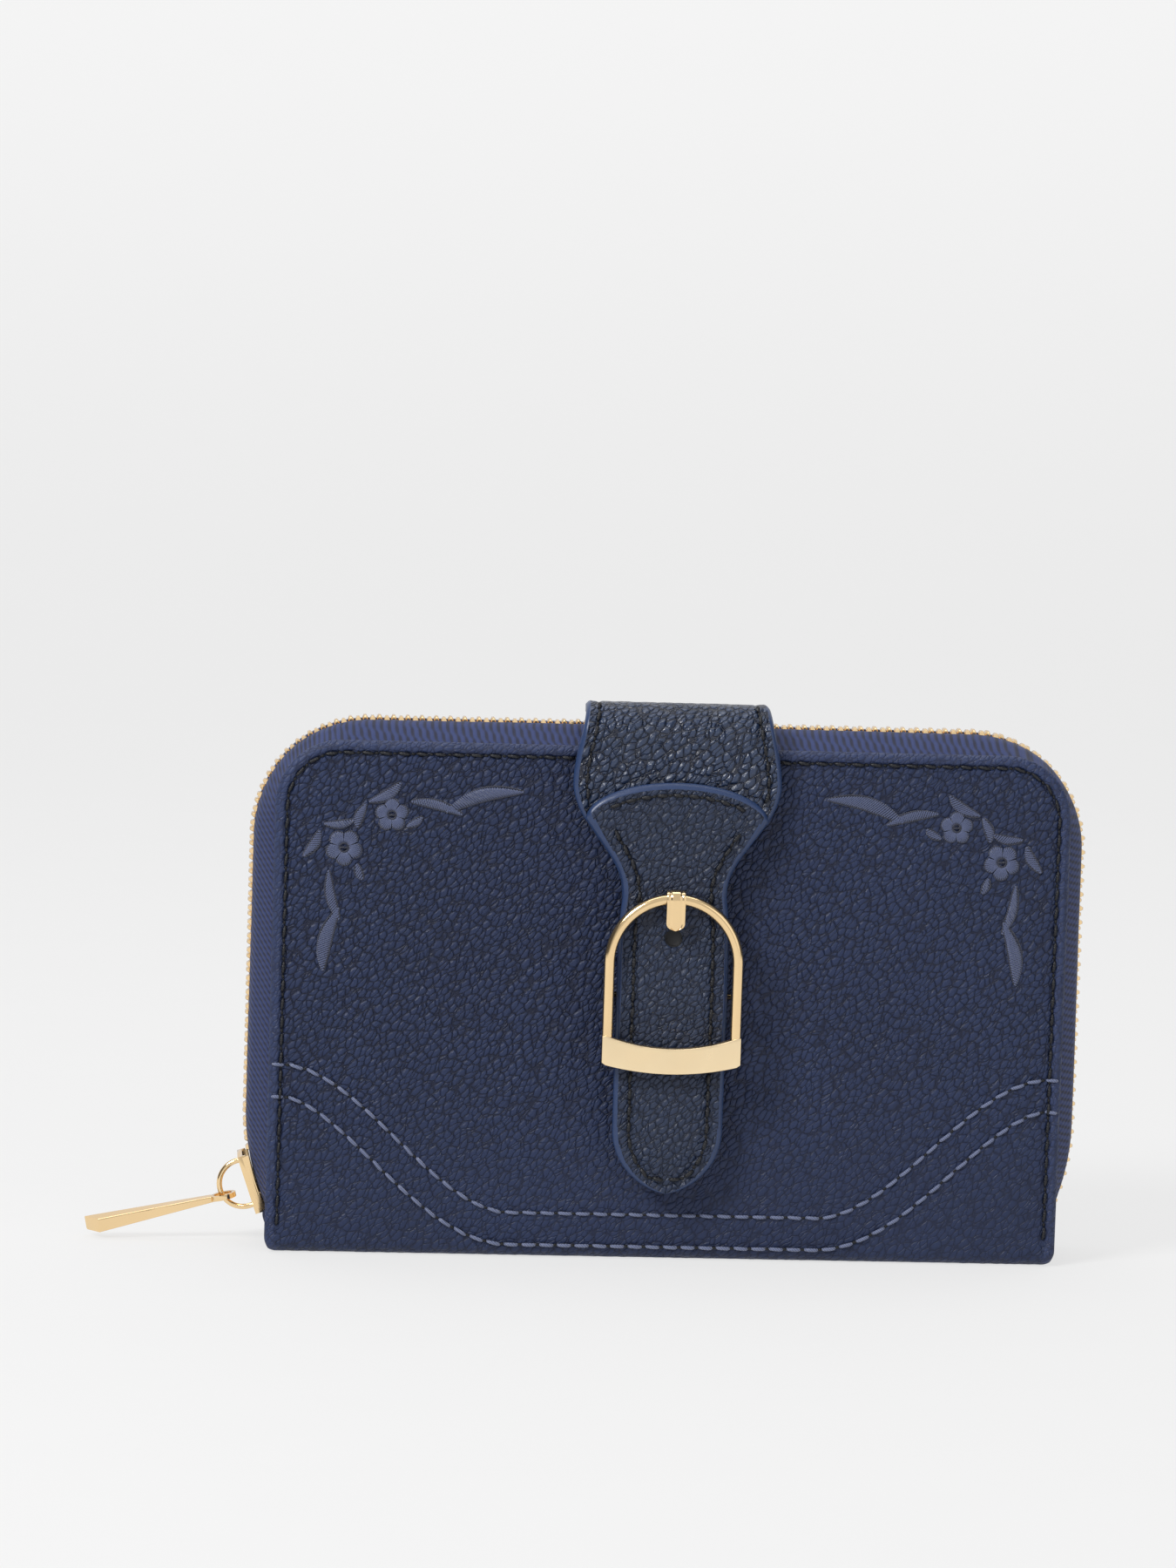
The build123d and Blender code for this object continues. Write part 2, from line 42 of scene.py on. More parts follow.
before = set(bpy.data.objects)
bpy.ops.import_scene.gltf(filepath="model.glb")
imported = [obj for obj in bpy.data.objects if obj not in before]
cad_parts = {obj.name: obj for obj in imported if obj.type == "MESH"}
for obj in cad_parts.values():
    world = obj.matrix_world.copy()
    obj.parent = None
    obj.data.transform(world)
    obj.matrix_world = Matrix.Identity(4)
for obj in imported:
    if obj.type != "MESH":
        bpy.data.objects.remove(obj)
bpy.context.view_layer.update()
random.seed(7)

# --- Driving sizes, read from the frame ---------------------------------------


def box_mm(node):
    """Lowest and highest corner of a CAD node in millimetres."""
    low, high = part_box(node)
    return [value / MM for value in low], [value / MM for value in high]


leather_high = box_mm("back_leather")[1]
HALF_WIDTH = leather_high[0]
HEIGHT = leather_high[2]
FACE_Y = leather_high[1]
CORNER = 12.0
FOLD = 2.5
LEATHER = 1.0
STITCH_INSET = 2.2

tape_low, tape_high = box_mm("back_zip_tape")
TAPE = 0.6
ZIP_HALF = tape_high[0] - TAPE / 2
ZIP_TOP = tape_high[2] - TAPE / 2
ZIP_LOW = tape_low[2]
ZIP_CORNER = 21.0
ZIP_BEND = 41.0
ZIP_BEND_Z = 25.0
SEAM_Y = tape_high[1]
PITCH = 2.6

strap_low, strap_high = box_mm("strap_front")
STRAP = strap_high[1] - strap_low[1]
layer_low, layer_high = box_mm("buckle_strap")
LAYER = layer_high[1] - layer_low[1]
SKIN_Y = layer_low[1]
over_low, over_high = box_mm("strap_top")
sewn_low, sewn_high = box_mm("strap_back")
frame_low, frame_high = box_mm("buckle_frame")
prong_low, prong_high = box_mm("buckle_prong")

# --- Materials ------------------------------------------------------------------


class Shader:
    """A node material, with short helpers for the nodes this file uses."""

    def __init__(self, name):
        self.material = bpy.data.materials.new(name)
        self.material.use_nodes = True
        self.nodes = self.material.node_tree.nodes
        self.links = self.material.node_tree.links
        self.surface = self.nodes["Principled BSDF"]
        self.coords = self.nodes.new("ShaderNodeTexCoord").outputs["Object"]

    def node(self, kind, inputs=None, **settings):
        made = self.nodes.new(kind)
        for key, value in settings.items():
            setattr(made, key, value)
        for key, value in (inputs or {}).items():
            if isinstance(value, bpy.types.NodeSocket):
                self.links.new(value, made.inputs[key])
            else:
                made.inputs[key].default_value = value
        return made

    def scaled(self, x, y, z, turn=(0, 0, 0)):
        """Object coordinates scaled per axis, so that one unit is one texture cell."""
        inputs = {"Vector": self.coords, "Scale": (x, y, z), "Rotation": turn}
        return self.node("ShaderNodeMapping", inputs).outputs[0]

    def noise(self, vector, scale, detail=3.0):
        inputs = {"Vector": vector, "Scale": scale, "Detail": detail}
        return self.node("ShaderNodeTexNoise", inputs).outputs["Fac"]

    def ribs(self, turn, scale, distortion=0.0):
        """Parallel ribs, turned about the three axes."""
        inputs = {"Vector": self.scaled(1, 1, 1, turn), "Scale": scale, "Distortion": distortion}
        return self.node("ShaderNodeTexWave", inputs).outputs["Fac"]

    def cells(self, vector, scale, feature="DISTANCE_TO_EDGE"):
        made = self.node("ShaderNodeTexVoronoi", {"Vector": vector, "Scale": scale}, feature=feature)
        return made.outputs["Distance"]

    def span(self, value, low, high, to_low=0.0, to_high=1.0):
        inputs = {"Value": value, "From Min": low, "From Max": high, "To Min": to_low, "To Max": to_high}
        return self.node("ShaderNodeMapRange", inputs, interpolation_type="SMOOTHSTEP").outputs[0]

    def sum(self, a, b, operation="ADD"):
        return self.node("ShaderNodeMath", {0: a, 1: b}, operation=operation).outputs[0]

    def blend(self, factor, a, b):
        made = self.node("ShaderNodeMix", data_type="RGBA")
        for socket, value in ((0, factor), (6, a), (7, b)):
            if isinstance(value, bpy.types.NodeSocket):
                self.links.new(value, made.inputs[socket])
            else:
                made.inputs[socket].default_value = value
        return made.outputs[2]

    def bump(self, height, distance, strength=1.0, onto=None):
        inputs = {"Height": height, "Distance": distance, "Strength": strength}
        if onto is not None:
            inputs["Normal"] = onto
        return self.node("ShaderNodeBump", inputs).outputs[0]

    def finish(self, **inputs):
        for key, value in inputs.items():
            name = key.replace("_", " ")
            if isinstance(value, bpy.types.NodeSocket):
                self.links.new(value, self.surface.inputs[name])
            else:
                self.surface.inputs[name].default_value = value
        return self.material


def colour(red, green, blue):
    """Linear colour of an sRGB triple given in 0 to 255."""
    parts = [c / 255 for c in (red, green, blue)]
    return tuple(((c + 0.055) / 1.055) ** 2.4 if c > 0.04 else c / 12.92 for c in parts) + (1.0,)


def dimmed(base, share):
    """A colour at a share of its strength."""
    return tuple(c * share for c in base[:3]) + (1,)


def leather(name, base, crease_shade, cell, depth=0.3, gloss=0.5, shine=0.32, fade_right_and_foot=False):
    """Pebbled leather: rounded pebbles drawn out along one slant, fine pores, painted shade in the creases
    and a slow change of tone.
    When asked, the pebbles and the painted crease shade flatten out towards the right and the foot."""
    s = Shader(name)
    moved = s.node("ShaderNodeMix", data_type="VECTOR")
    moved.inputs[0].default_value = 0.0009
    drift = s.node("ShaderNodeTexNoise", {"Vector": s.coords, "Scale": 420.0}).outputs["Color"]
    s.links.new(s.coords, moved.inputs[4])
    s.links.new(drift, moved.inputs[5])
    slant = {"Vector": moved.outputs[1], "Rotation": (0, math.radians(48), 0)}
    turned = s.node("ShaderNodeMapping", slant).outputs[0]
    drawn = {"Vector": turned, "Scale": (0.64 / cell, 1.0 / cell, 1.2 / cell)}
    grain = s.node("ShaderNodeMapping", drawn).outputs[0]
    pebbles = s.span(s.cells(grain, 1000, "F1"), 0.25, 0.78, 0.7, 0.0)
    furrow = s.span(s.cells(grain, 1000), 0.0, 0.13, 0.0, 0.5)
    small = s.span(s.cells(grain, 2300, "F1"), 0.1, 0.7, 0.14, 0.0)
    pores = s.noise(s.coords, 3600, 2)
    height = s.sum(s.sum(pebbles, furrow), small)
    # flattens the pebbles, and with them the painted crease shade, towards the right and the foot
    if fade_right_and_foot:
        axes = s.node("ShaderNodeSeparateXYZ", {"Vector": s.coords}).outputs
        sideways = s.span(axes[0], -0.055, 0.05, 1.0, 0.82)
        keep = s.sum(sideways, s.span(axes[2], 0.004, 0.045, 0.6, 1.0), "MULTIPLY")
        flat = s.sum(s.sum(1.0, keep, "SUBTRACT"), 0.8, "MULTIPLY")
        height = s.sum(s.sum(height, keep, "MULTIPLY"), flat)
    slow = s.noise(s.coords, 45, 3)
    # painted shade: the colour darkens to the crease colour in the creases between the pebbles
    tone = s.blend(s.span(height, 0.1, 1.0), crease_shade, base)
    shade = s.blend(s.span(slow, 0.3, 0.7, 0.0, 0.2), tone, crease_shade)
    relief = s.bump(height, depth * MM, 1.0)
    fine = s.bump(pores, 0.03 * MM, 0.5, relief)
    rough = s.span(s.noise(s.coords, 300, 2), 0.3, 0.7, gloss - 0.06, gloss + 0.08)
    return s.finish(Base_Color=shade, Roughness=rough, Normal=fine, Specular_IOR_Level=shine)


def plain_leather(name, base):
    """Smooth calf leather with faint pores."""
    s = Shader(name)
    pores = s.cells(s.coords, 2600)
    tone = s.blend(s.span(s.noise(s.coords, 120, 4), 0.3, 0.7, 0, 0.35), base, dimmed(base, 0.6))
    return s.finish(Base_Color=tone, Roughness=0.5, Normal=s.bump(s.span(pores, 0, 0.3), 0.03 * MM, 0.6))


def edge_paint(name, base, rough=0.36):
    """Thick paint on a cut leather edge, slightly uneven."""
    s = Shader(name)
    wave = s.noise(s.coords, 900, 2)
    tone = s.blend(s.span(wave, 0.35, 0.65, 0, 0.25), base, dimmed(base, 0.7))
    return s.finish(Base_Color=tone, Roughness=rough, Normal=s.bump(wave, 0.05 * MM, 0.5))


def woven(name, base, dark, per_mm=2.2, slant=0.7):
    """Woven tape: slanted ribs crossed by fine threads."""
    s = Shader(name)
    scale = per_mm / MM / math.tau
    ribs = s.ribs((0.35, slant, 0.5), scale, 0.4)
    cross = s.ribs((0.2, slant + math.pi / 2, 0.4), scale)
    height = s.sum(ribs, s.sum(cross, 0.45, "MULTIPLY"))
    # painted shade: the colour darkens towards the dark colour in the valleys between the ribs
    tone = s.blend(s.span(height, 0.2, 1.0), dark, base)
    return s.finish(Base_Color=tone, Roughness=0.78, Sheen_Weight=0.06, Normal=s.bump(height, 0.14 * MM, 0.8))


def thread(name, base, twist=1.0, sheen=0.3):
    """Twisted thread with a soft shine."""
    s = Shader(name)
    strands = s.ribs((0, 0.8, 0), 900 * twist, 0.6)
    # painted shade: the colour darkens in the grooves between the strands
    tone = s.blend(s.span(strands, 0.1, 0.9), dimmed(base, 0.55), base)
    normal = s.bump(strands, 0.06 * MM, 0.7)
    return s.finish(Base_Color=tone, Roughness=0.48, Sheen_Weight=sheen, Normal=normal)


def metal(name, base, rough=0.16, brushed=0.0, rim=0.45):
    """Plated metal with faint smears, painted dark flanks where it turns away from the view, and brushing
    where asked.
    """
    s = Shader(name)
    smear = s.noise(s.coords, 240, 3)
    lines = s.noise(s.scaled(60, 2200, 2200), 1, 2)
    mix = s.span(smear, 0.3, 0.7, rough * 0.8, rough * 1.3)
    plate = s.blend(s.span(s.noise(s.coords, 90, 2), 0.3, 0.7, 0, 0.3), base, dimmed(base, 0.88))
    # painted dark reflection: the colour darkens by the rim share where the surface turns away from the view
    facing = s.node("ShaderNodeLayerWeight", {"Blend": 0.5}).outputs["Facing"]
    deep = (base[0] * 0.4, base[1] * 0.3, base[2] * 0.22, 1)
    tone = s.blend(s.span(facing, 0.45, 0.95, 0.0, rim), plate, deep)
    height = s.sum(lines, brushed, "MULTIPLY")
    return s.finish(Base_Color=tone, Metallic=1.0, Roughness=mix, Normal=s.bump(height, 0.01 * MM, 0.5))


def card(name, base):
    """Grey pasted board with fibres."""
    s = Shader(name)
    fibre = s.noise(s.scaled(1, 1, 3), 700, 5)
    tone = s.blend(s.span(fibre, 0.3, 0.7), base, dimmed(base, 0.75))
    return s.finish(Base_Color=tone, Roughness=0.9, Normal=s.bump(fibre, 0.05 * MM, 0.6))


M = {
    # for each leather, the second colour is the painted shade in its creases
    "cover": leather("cover_leather", colour(34, 46, 78), colour(17, 24, 47), cell=1.1, fade_right_and_foot=True),
    # the turned edge is coloured lighter than the cover: painted light on its rounded edge
    "band": leather("turned_edge_leather", colour(39, 52, 88), colour(28, 38, 68), 1.0, 0.12, shine=0.4),
    "strap": leather("strap_leather", colour(34, 46, 71), colour(19, 28, 48), 1.05, 0.3, 0.44, 0.42),
    "tab": leather("tab_leather", colour(37, 52, 80), colour(14, 22, 42), 1.25, 0.5, 0.34, 0.6),
    "inner": plain_leather("inner_leather", colour(34, 42, 70)),
    "edge": edge_paint("edge_paint", colour(38, 57, 94)),
    "tape": woven("zip_tape_weave", colour(34, 49, 96), colour(12, 20, 50)),
    "lining": woven("lining_weave", colour(58, 64, 88), colour(36, 40, 60), per_mm=3.4, slant=0.0),
    "stitch": thread("dark_thread", colour(11, 13, 22), 1.0, 0.02),
    "wave": thread("light_thread", colour(106, 116, 150)),
    "satin": thread("satin_thread", colour(80, 91, 128), 1.6),
    # dark thread of the outlines and flower eyes: painted shade between the petals and in the flower centres
    "outline": thread("outline_shade_thread", colour(26, 32, 56)),
    "gold": metal("gold_plate", (0.95, 0.70, 0.39, 1), 0.13),
    "bar": metal("gold_satin", (1.0, 0.80, 0.51, 1), 0.34, 0.12, 0.5),
    "board": card("grey_board", colour(150, 146, 136)),
    # near black: painted shade in the needle holes and the punched hole
    "hole": edge_paint("painted_hole_shade", colour(7, 8, 13), 0.7),
}

# --- Mesh helpers ---------------------------------------------------------------


def make_object(name, points, faces, materials, face_materials=None, smooth=True):
    """A mesh object from points in millimetres."""
    mesh = bpy.data.meshes.new(name)
    mesh.from_pydata([(x * MM, y * MM, z * MM) for x, y, z in points], [], faces)
    for material in materials:
        mesh.materials.append(M[material])
    if face_materials:
        mesh.polygons.foreach_set("material_index", face_materials)
    if smooth:
        mesh.polygons.foreach_set("use_smooth", [True] * len(mesh.polygons))
    mesh.update()
    made = bpy.data.objects.new(name, mesh)
    bpy.context.scene.collection.objects.link(made)
    return made


WELD, CAD_WELD = 0.004 * MM, 0.002 * MM


def tidy_mesh(piece):
    """Closes tiny gaps and makes every face look outwards."""
    work = bmesh.new()
    work.from_mesh(piece.data)
    bmesh.ops.remove_doubles(work, verts=work.verts, dist=WELD)
    bmesh.ops.recalc_face_normals(work, faces=work.faces)
    work.to_mesh(piece.data)
    work.free()
    return piece


def applied(piece, kind, **settings):
    """Adds a modifier, sets it and bakes it into the mesh."""
    modifier = piece.modifiers.new(kind.title(), kind)
    for key, value in settings.items():
        setattr(modifier, key, value)
    graph = bpy.context.evaluated_depsgraph_get()
    mesh = bpy.data.meshes.new_from_object(piece.evaluated_get(graph))
    piece.modifiers.clear()
    old = piece.data
    piece.data = mesh
    mesh.name = piece.name
    bpy.data.meshes.remove(old)
    return piece


def shade_smooth(piece, angle=40):
    """Smooth shading, with edges sharper than the angle kept crisp."""
    piece.data.polygons.foreach_set("use_smooth", [True] * len(piece.data.polygons))
    piece.data.set_sharp_from_angle(angle=math.radians(angle))
    return piece


def place(piece, body, replaced=()):
    """Puts a piece on its body and hides the CAD nodes it stands for."""
    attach(piece, body)
    if replaced:
        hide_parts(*replaced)
    return piece


def bend(piece, body_a, body_b, start, end, slot, replaced=()):
    """Bakes a soft piece's place into its mesh and hides the CAD nodes it stands for."""
    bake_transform(piece)
    if replaced:
        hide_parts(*replaced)
    return piece


def smooth_step(value):
    value = min(max(value, 0.0), 1.0)
    return value * value * (3 - 2 * value)


def through(knots, at):
    """Smooth curve through (place, value) knots that are sorted by place."""
    if at <= knots[0][0]:
        return knots[0][1]
    if at >= knots[-1][0]:
        return knots[-1][1]
    index = next(i for i in range(len(knots) - 1) if at <= knots[i + 1][0])
    (x0, v0), (x1, v1) = knots[index], knots[index + 1]
    slopes = []
    for middle in (index, index + 1):
        first, last = knots[max(middle - 1, 0)], knots[min(middle + 1, len(knots) - 1)]
        slopes.append((last[1] - first[1]) / (last[0] - first[0]))
    t = (at - x0) / (x1 - x0)
    run = x1 - x0
    return (
        v0 * (2 * t**3 - 3 * t * t + 1) + v1 * (3 * t * t - 2 * t**3)
        + slopes[0] * run * (t**3 - 2 * t * t + t) + slopes[1] * run * (t**3 - t * t)
    )


def bell(value, centre, width):
    return math.exp(-(((value - centre) / width) ** 2))


def pebble(x, y, z, cell):
    """Height from 0 in a crease to 1 on a pebble."""
    along, over = 0.67 * x + 0.74 * z, 0.67 * z - 0.74 * x
    near = noise.voronoi(Vector((along * 0.64 / cell, y / cell, over * 1.2 / cell)))[0]
    return 1 - smooth_step((near[0] - 0.1) / 0.6)


def sheet_faces(deep, wide):
    """Faces of a closed sheet with two layers of deep rows by wide columns of points: skins, then the rim."""

    def at(layer, row, column):
        return (layer * deep + row) * wide + column

    faces = []
    for row in range(deep - 1):
        for column in range(wide - 1):
            a, b = (row, column), (row, column + 1)
            c, d = (row + 1, column + 1), (row + 1, column)
            faces.append((at(0, *a), at(0, *b), at(0, *c), at(0, *d)))
            faces.append((at(1, *a), at(1, *d), at(1, *c), at(1, *b)))
    rims = [((row, column), (row + 1, column)) for row in range(deep - 1) for column in (0, wide - 1)]
    rims += [((row, column), (row, column + 1)) for column in range(wide - 1) for row in (0, deep - 1)]
    for a, b in rims:
        faces.append((at(0, *a), at(0, *b), at(1, *b), at(1, *a)))
    return faces


def strip(name, rows, columns, thickness, relief, materials, bow_shape=None, near=None, painted=0.0):
    """A closed strip of leather. Each row is (y, z, normal y, normal z, half width, bow): the outer skin's
    middle point, its outward direction, and how far the row's ends drop back along the strip. The three
    materials are skin, back and cut edge. The skin too is painted where it is nearer an edge than painted."""
    points, edges = [], []
    shares = [2 * i / columns - 1 for i in range(columns + 1)]
    across = [math.sin(math.pi / 2 * u) * 0.4 + u * 0.6 for u in shares]
    for layer in (0, 1):
        for y, z, ny, nz, half, bow in rows:
            for u in across:
                x = u * half
                drop = bow * bow_shape(x) if bow_shape else 0.0
                py, pz = y + nz * drop, z - abs(ny) * drop
                distance = half * (1 - abs(u))
                if near:
                    distance = near(x, pz, distance)
                edges.append(distance)
                lift = relief(x, py, pz, distance) if layer == 0 else -thickness
                points.append((x, py + ny * lift, pz + nz * lift))
    faces = sheet_faces(len(rows), columns + 1)
    skins = 2 * (len(rows) - 1) * columns
    kinds = []
    for index, face in enumerate(faces):
        if index >= skins:
            kinds.append(2)
        elif index % 2:
            kinds.append(1)
        else:
            kinds.append(2 if sum(edges[i] for i in face) / 4 < painted else 0)
    made = make_object(name, points, faces, materials, kinds)
    return tidy_mesh(made)


def ring_faces(count, sides):
    """Faces of a closed body made of rings with the same number of points."""
    faces = []
    for ring in range(count - 1):
        for turn in range(sides):
            a, b = ring * sides + turn, ring * sides + (turn + 1) % sides
            faces.append((a, b, b + sides, a + sides))
    faces.append(tuple(reversed(range(sides))))
    faces.append(tuple(range((count - 1) * sides, count * sides)))
    return faces


def tube_points(path, radius, sides, taper=None):
    """Points and faces of a round tube along a list of points, closed at both ends."""
    points = []
    for index, here in enumerate(path):
        before, after = path[max(index - 1, 0)], path[min(index + 1, len(path) - 1)]
        along = (Vector(after) - Vector(before)).normalized()
        first = along.orthogonal() if abs(along.y) > 0.9 else along.cross(Vector((0, 1, 0))).normalized()
        first.normalize()
        second = along.cross(first)
        wide = radius * (taper[index] if taper else 1.0)
        for turn in range(sides):
            angle = math.tau * turn / sides
            points.append(tuple(Vector(here) + (first * math.cos(angle) + second * math.sin(angle)) * wide))
    return points, ring_faces(len(path), sides)


def ring_points(centre, radius, count):
    """Points round a circle that faces the front, the first one repeated at the end."""
    turns = [math.tau * index / count for index in range(count + 1)]
    return [centre + Vector((radius * math.cos(t), 0, radius * math.sin(t))) for t in turns]


def tubes(name, paths, radius, material, sides=7):
    """Many tubes in one mesh."""
    points, faces = [], []
    for path in paths:
        more, around = tube_points(path, radius, sides)
        faces += [tuple(i + len(points) for i in face) for face in around]
        points += more
    return tidy_mesh(make_object(name, points, faces, [material]))


def resample(path, pitch, shift=0.5):
    """Pairs of (point, direction) every pitch along a polyline of vectors."""
    lengths = [0.0]
    for a, b in zip(path, path[1:]):
        lengths.append(lengths[-1] + (b - a).length)
    count = max(1, round(lengths[-1] / pitch))
    found, index = [], 0
    for step in range(count):
        want = (step + shift) * lengths[-1] / count
        while lengths[index + 1] < want:
            index += 1
        a, b = path[index], path[index + 1]
        share = (want - lengths[index]) / (lengths[index + 1] - lengths[index])
        found.append((a.lerp(b, share), (b - a).normalized()))
    return found


STITCH_STEPS = (-1, -0.8, -0.45, 0, 0.45, 0.8, 1)
STITCH_TAPER = (0.55, 0.85, 1, 1, 1, 0.85, 0.55)
HOLE_STEPS = (-1.3, -0.6, 0, 0.6, 1.3)
HOLE_TAPER = (0.3, 0.8, 1, 0.8, 0.3)


def stitch_runs(path, outward, pitch, length, radius, slant):
    """Separate stitches along a path, each bowed out of the leather with its ends sunk in."""
    runs = []
    for middle, along in resample(path, pitch):
        out = Vector(outward(middle))
        sideways = along.cross(out).normalized()
        heading = (along + sideways * (slant + random.uniform(-0.05, 0.05))).normalized()
        runs.append(
            [middle + heading * (t * length / 2) + out * (radius * (1.0 - 1.5 * t**4)) for t in STITCH_STEPS]
        )
    return runs


def hole_runs(path, outward, pitch, radius):
    """Needle holes between the stitches, as dark beads sunk in the leather: painted shade in the holes."""
    runs = []
    for middle, along in resample(path, pitch, 0.0)[1:]:
        out = Vector(outward(middle))
        runs.append([middle + along * (t * radius) - out * (radius * 0.15) for t in HOLE_STEPS])
    return runs


def sewing(name, paths, outward, pitch, length, radius, material="stitch", slant=0.12):
    """Stitches and needle holes along several paths, in one piece."""
    points, faces, kinds = [], [], []
    for path in paths:
        groups = (
            (0, stitch_runs(path, outward, pitch, length, radius, slant), radius, STITCH_TAPER),
            (1, hole_runs(path, outward, pitch, radius), radius * 0.9, HOLE_TAPER),
        )
        for kind, runs, wide, taper in groups:
            for run in runs:
                more, around = tube_points(run, wide, 7, taper)
                faces += [tuple(i + len(points) for i in face) for face in around]
                kinds += [kind] * len(around)
                points += more
    return tidy_mesh(make_object(name, points, faces, [material, "hole"], kinds))


def bevelled_copy(node, name, material, body, width, segments=2):
    """The CAD solid with its sharp edges rounded, as its own mesh."""
    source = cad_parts[node]
    mesh = source.data.copy()
    mesh.name = name
    made = bpy.data.objects.new(name, mesh)
    bpy.context.scene.collection.objects.link(made)
    made.matrix_world = source.matrix_world.copy()
    mesh.materials.clear()
    mesh.materials.append(M[material])
    work = bmesh.new()
    work.from_mesh(mesh)
    bmesh.ops.remove_doubles(work, verts=work.verts, dist=CAD_WELD)
    bmesh.ops.dissolve_limit(work, angle_limit=math.radians(2), verts=work.verts, edges=work.edges)
    work.to_mesh(mesh)
    work.free()
    mesh.polygons.foreach_set("material_index", [0] * len(mesh.polygons))
    sharp = math.radians(35)
    applied(made, "BEVEL", width=width * MM, segments=segments, limit_method="ANGLE", angle_limit=sharp)
    shade_smooth(made, 45)
    return place(made, body, [node])


# --- Outer leather: one sheet round front, spine and back ------------------------


def cover_half(z):
    """Half width of the cover at a height."""
    over = max(z - (HEIGHT - CORNER), 0.0)
    return HALF_WIDTH - CORNER + math.sqrt(max(CORNER * CORNER - over * over, 0.0))


def cover_edge_distance(x, z):
    """Distance from a point of the cover to its top and side edges."""
    dx, dz = abs(x) - (HALF_WIDTH - CORNER), z - (HEIGHT - CORNER)
    if dx > 0 and dz > 0:
        return CORNER - math.hypot(dx, dz)
    return min(HALF_WIDTH - abs(x), HEIGHT - z)


def cover_rows(step):
    """Rows from the top of the front, down round the spine and up to the top of the back."""
    side = []
    turns = 34
    for index in range(turns, 0, -1):
        side.append(HEIGHT - CORNER + CORNER * math.sin(math.pi / 2 * index / turns))
    count = int((HEIGHT - CORNER - FOLD) / step)
    for index in range(count + 1):
        side.append(HEIGHT - CORNER - (HEIGHT - CORNER - FOLD) * index / count)
    front = [(-FACE_Y, z, -1.0, 0.0) for z in side]
    bends = 8
    fold = []
    for index in range(1, bends):
        angle = math.pi / 2 * index / bends
        out, down = math.cos(angle), math.sin(angle)
        fold.append((-FACE_Y + FOLD - FOLD * out, FOLD - FOLD * down, -out, -down))
    flat = [((FACE_Y - FOLD) * (i / 15 - 1), 0.0, 0.0, -1.0) for i in range(31)]
    far_fold = [(-y, z, -ny, nz) for y, z, ny, nz in reversed(fold)]
    back = [(FACE_Y, z, 1.0, 0.0) for z in reversed(side)]
    rows = front + fold + flat + far_fold + back
    return [(y, z, ny, nz, cover_half(z) - foot_corner(z), 0.0) for y, z, ny, nz in rows]


def foot_corner(z):
    """How far the cover's ends draw in where they turn under."""
    return 1.5 * (1 - math.sqrt(max(1 - max(1 - z / 3.0, 0) ** 2, 0)))


WAVE_FLAT, WAVE_RUN, WAVE_RISE = 28.0, 42.0, 26.3
WAVE_LOW, WAVE_GAP, WAVE_END = 8.3, 5.9, 72.2


def wave_height(x):
    """Height of the upper wave line: flat in the middle, rising in an S towards both sides."""
    return WAVE_LOW + WAVE_RISE * smooth_step((abs(x) - WAVE_FLAT) / WAVE_RUN)


def wave_slope(x):
    """Slope of the upper wave line."""
    share = min(max((abs(x) - WAVE_FLAT) / WAVE_RUN, 0), 1)
    return math.copysign(WAVE_RISE * 6 * share * (1 - share) / WAVE_RUN, x)


def wave_offset(x, z):
    """Distance below the upper wave line, measured square to it."""
    return (wave_height(x) - z) / math.hypot(1, wave_slope(x))


def cover_near(x, z, side_distance):
    """Distance to the cover's edge, but not to the fold at its foot."""
    return min(cover_edge_distance(x, z), side_distance) if z > FOLD else side_distance


def cover_relief(x, y, z, near):
    """Rounded turned edge, stitch groove, light padding and pebbles."""
    on_panel = smooth_step((abs(y) - FACE_Y + 1.2) / 1.2) if z < FOLD + 1 else 1.0
    turned = -0.6 * (1 - min(near / 0.9, 1)) ** 2 + 0.16 * bell(near, 1.15, 0.6)
    groove = -0.38 * bell(near, STITCH_INSET, 0.38) * smooth_step((z - 2.5) / 2)
    pad = 0.34 * smooth_step((near - STITCH_INSET) / 6) * smooth_step((z - 1) / 8)
    edge_only = -0.45 * (1 - min(near / 0.9, 1)) ** 2
    grain = 0.05 * (pebble(x, y, z, 1.3) - 0.5) * smooth_step(near / 2.5)
    if y > 0:
        pad *= 0.6
    for drop in (0.0, WAVE_GAP):
        if y < 0 and abs(wave_offset(x, z) - drop) < 1.5:
            pad -= 0.16 * bell(wave_offset(x, z), drop, 0.45)
    return on_panel * (turned + groove + pad) + (1 - on_panel) * edge_only * 0.5 + grain


outer_leather = strip(
    "outer_leather", cover_rows(0.5), 290, LEATHER, cover_relief, ["cover", "inner", "band"],
    near=cover_near, painted=1.9,
)
COVER_BEND = ("root", "front_cover", (0, -9.0, 0), (0, -11.4, 0))
bend(outer_leather, *COVER_BEND, "outer_leather", ["front_leather", "back_leather"])

for node in ("front_board", "back_board", "spine_board"):
    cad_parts[node].data.materials.clear()
    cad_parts[node].data.materials.append(M["board"])


def cover_path(y):
    """Stitch line of a cover, from the left foot over the top to the right foot."""
    side, radius = HALF_WIDTH - STITCH_INSET, CORNER - STITCH_INSET
    centre_x, centre_z = HALF_WIDTH - CORNER, HEIGHT - CORNER
    left = [Vector((-side, y, EDGE_LOW)), Vector((-side, y, centre_z))]
    for index in range(1, 17):
        angle = math.pi / 2 * index / 16
        left.append(Vector((-centre_x - radius * math.cos(angle), y, centre_z + radius * math.sin(angle))))
    return left + [Vector((-p.x, p.y, p.z)) for p in reversed(left)]


def away(y_sign):
    """Outward direction of a flat face in front (-1) or behind (1)."""
    return lambda point: (0.0, float(y_sign), 0.0)


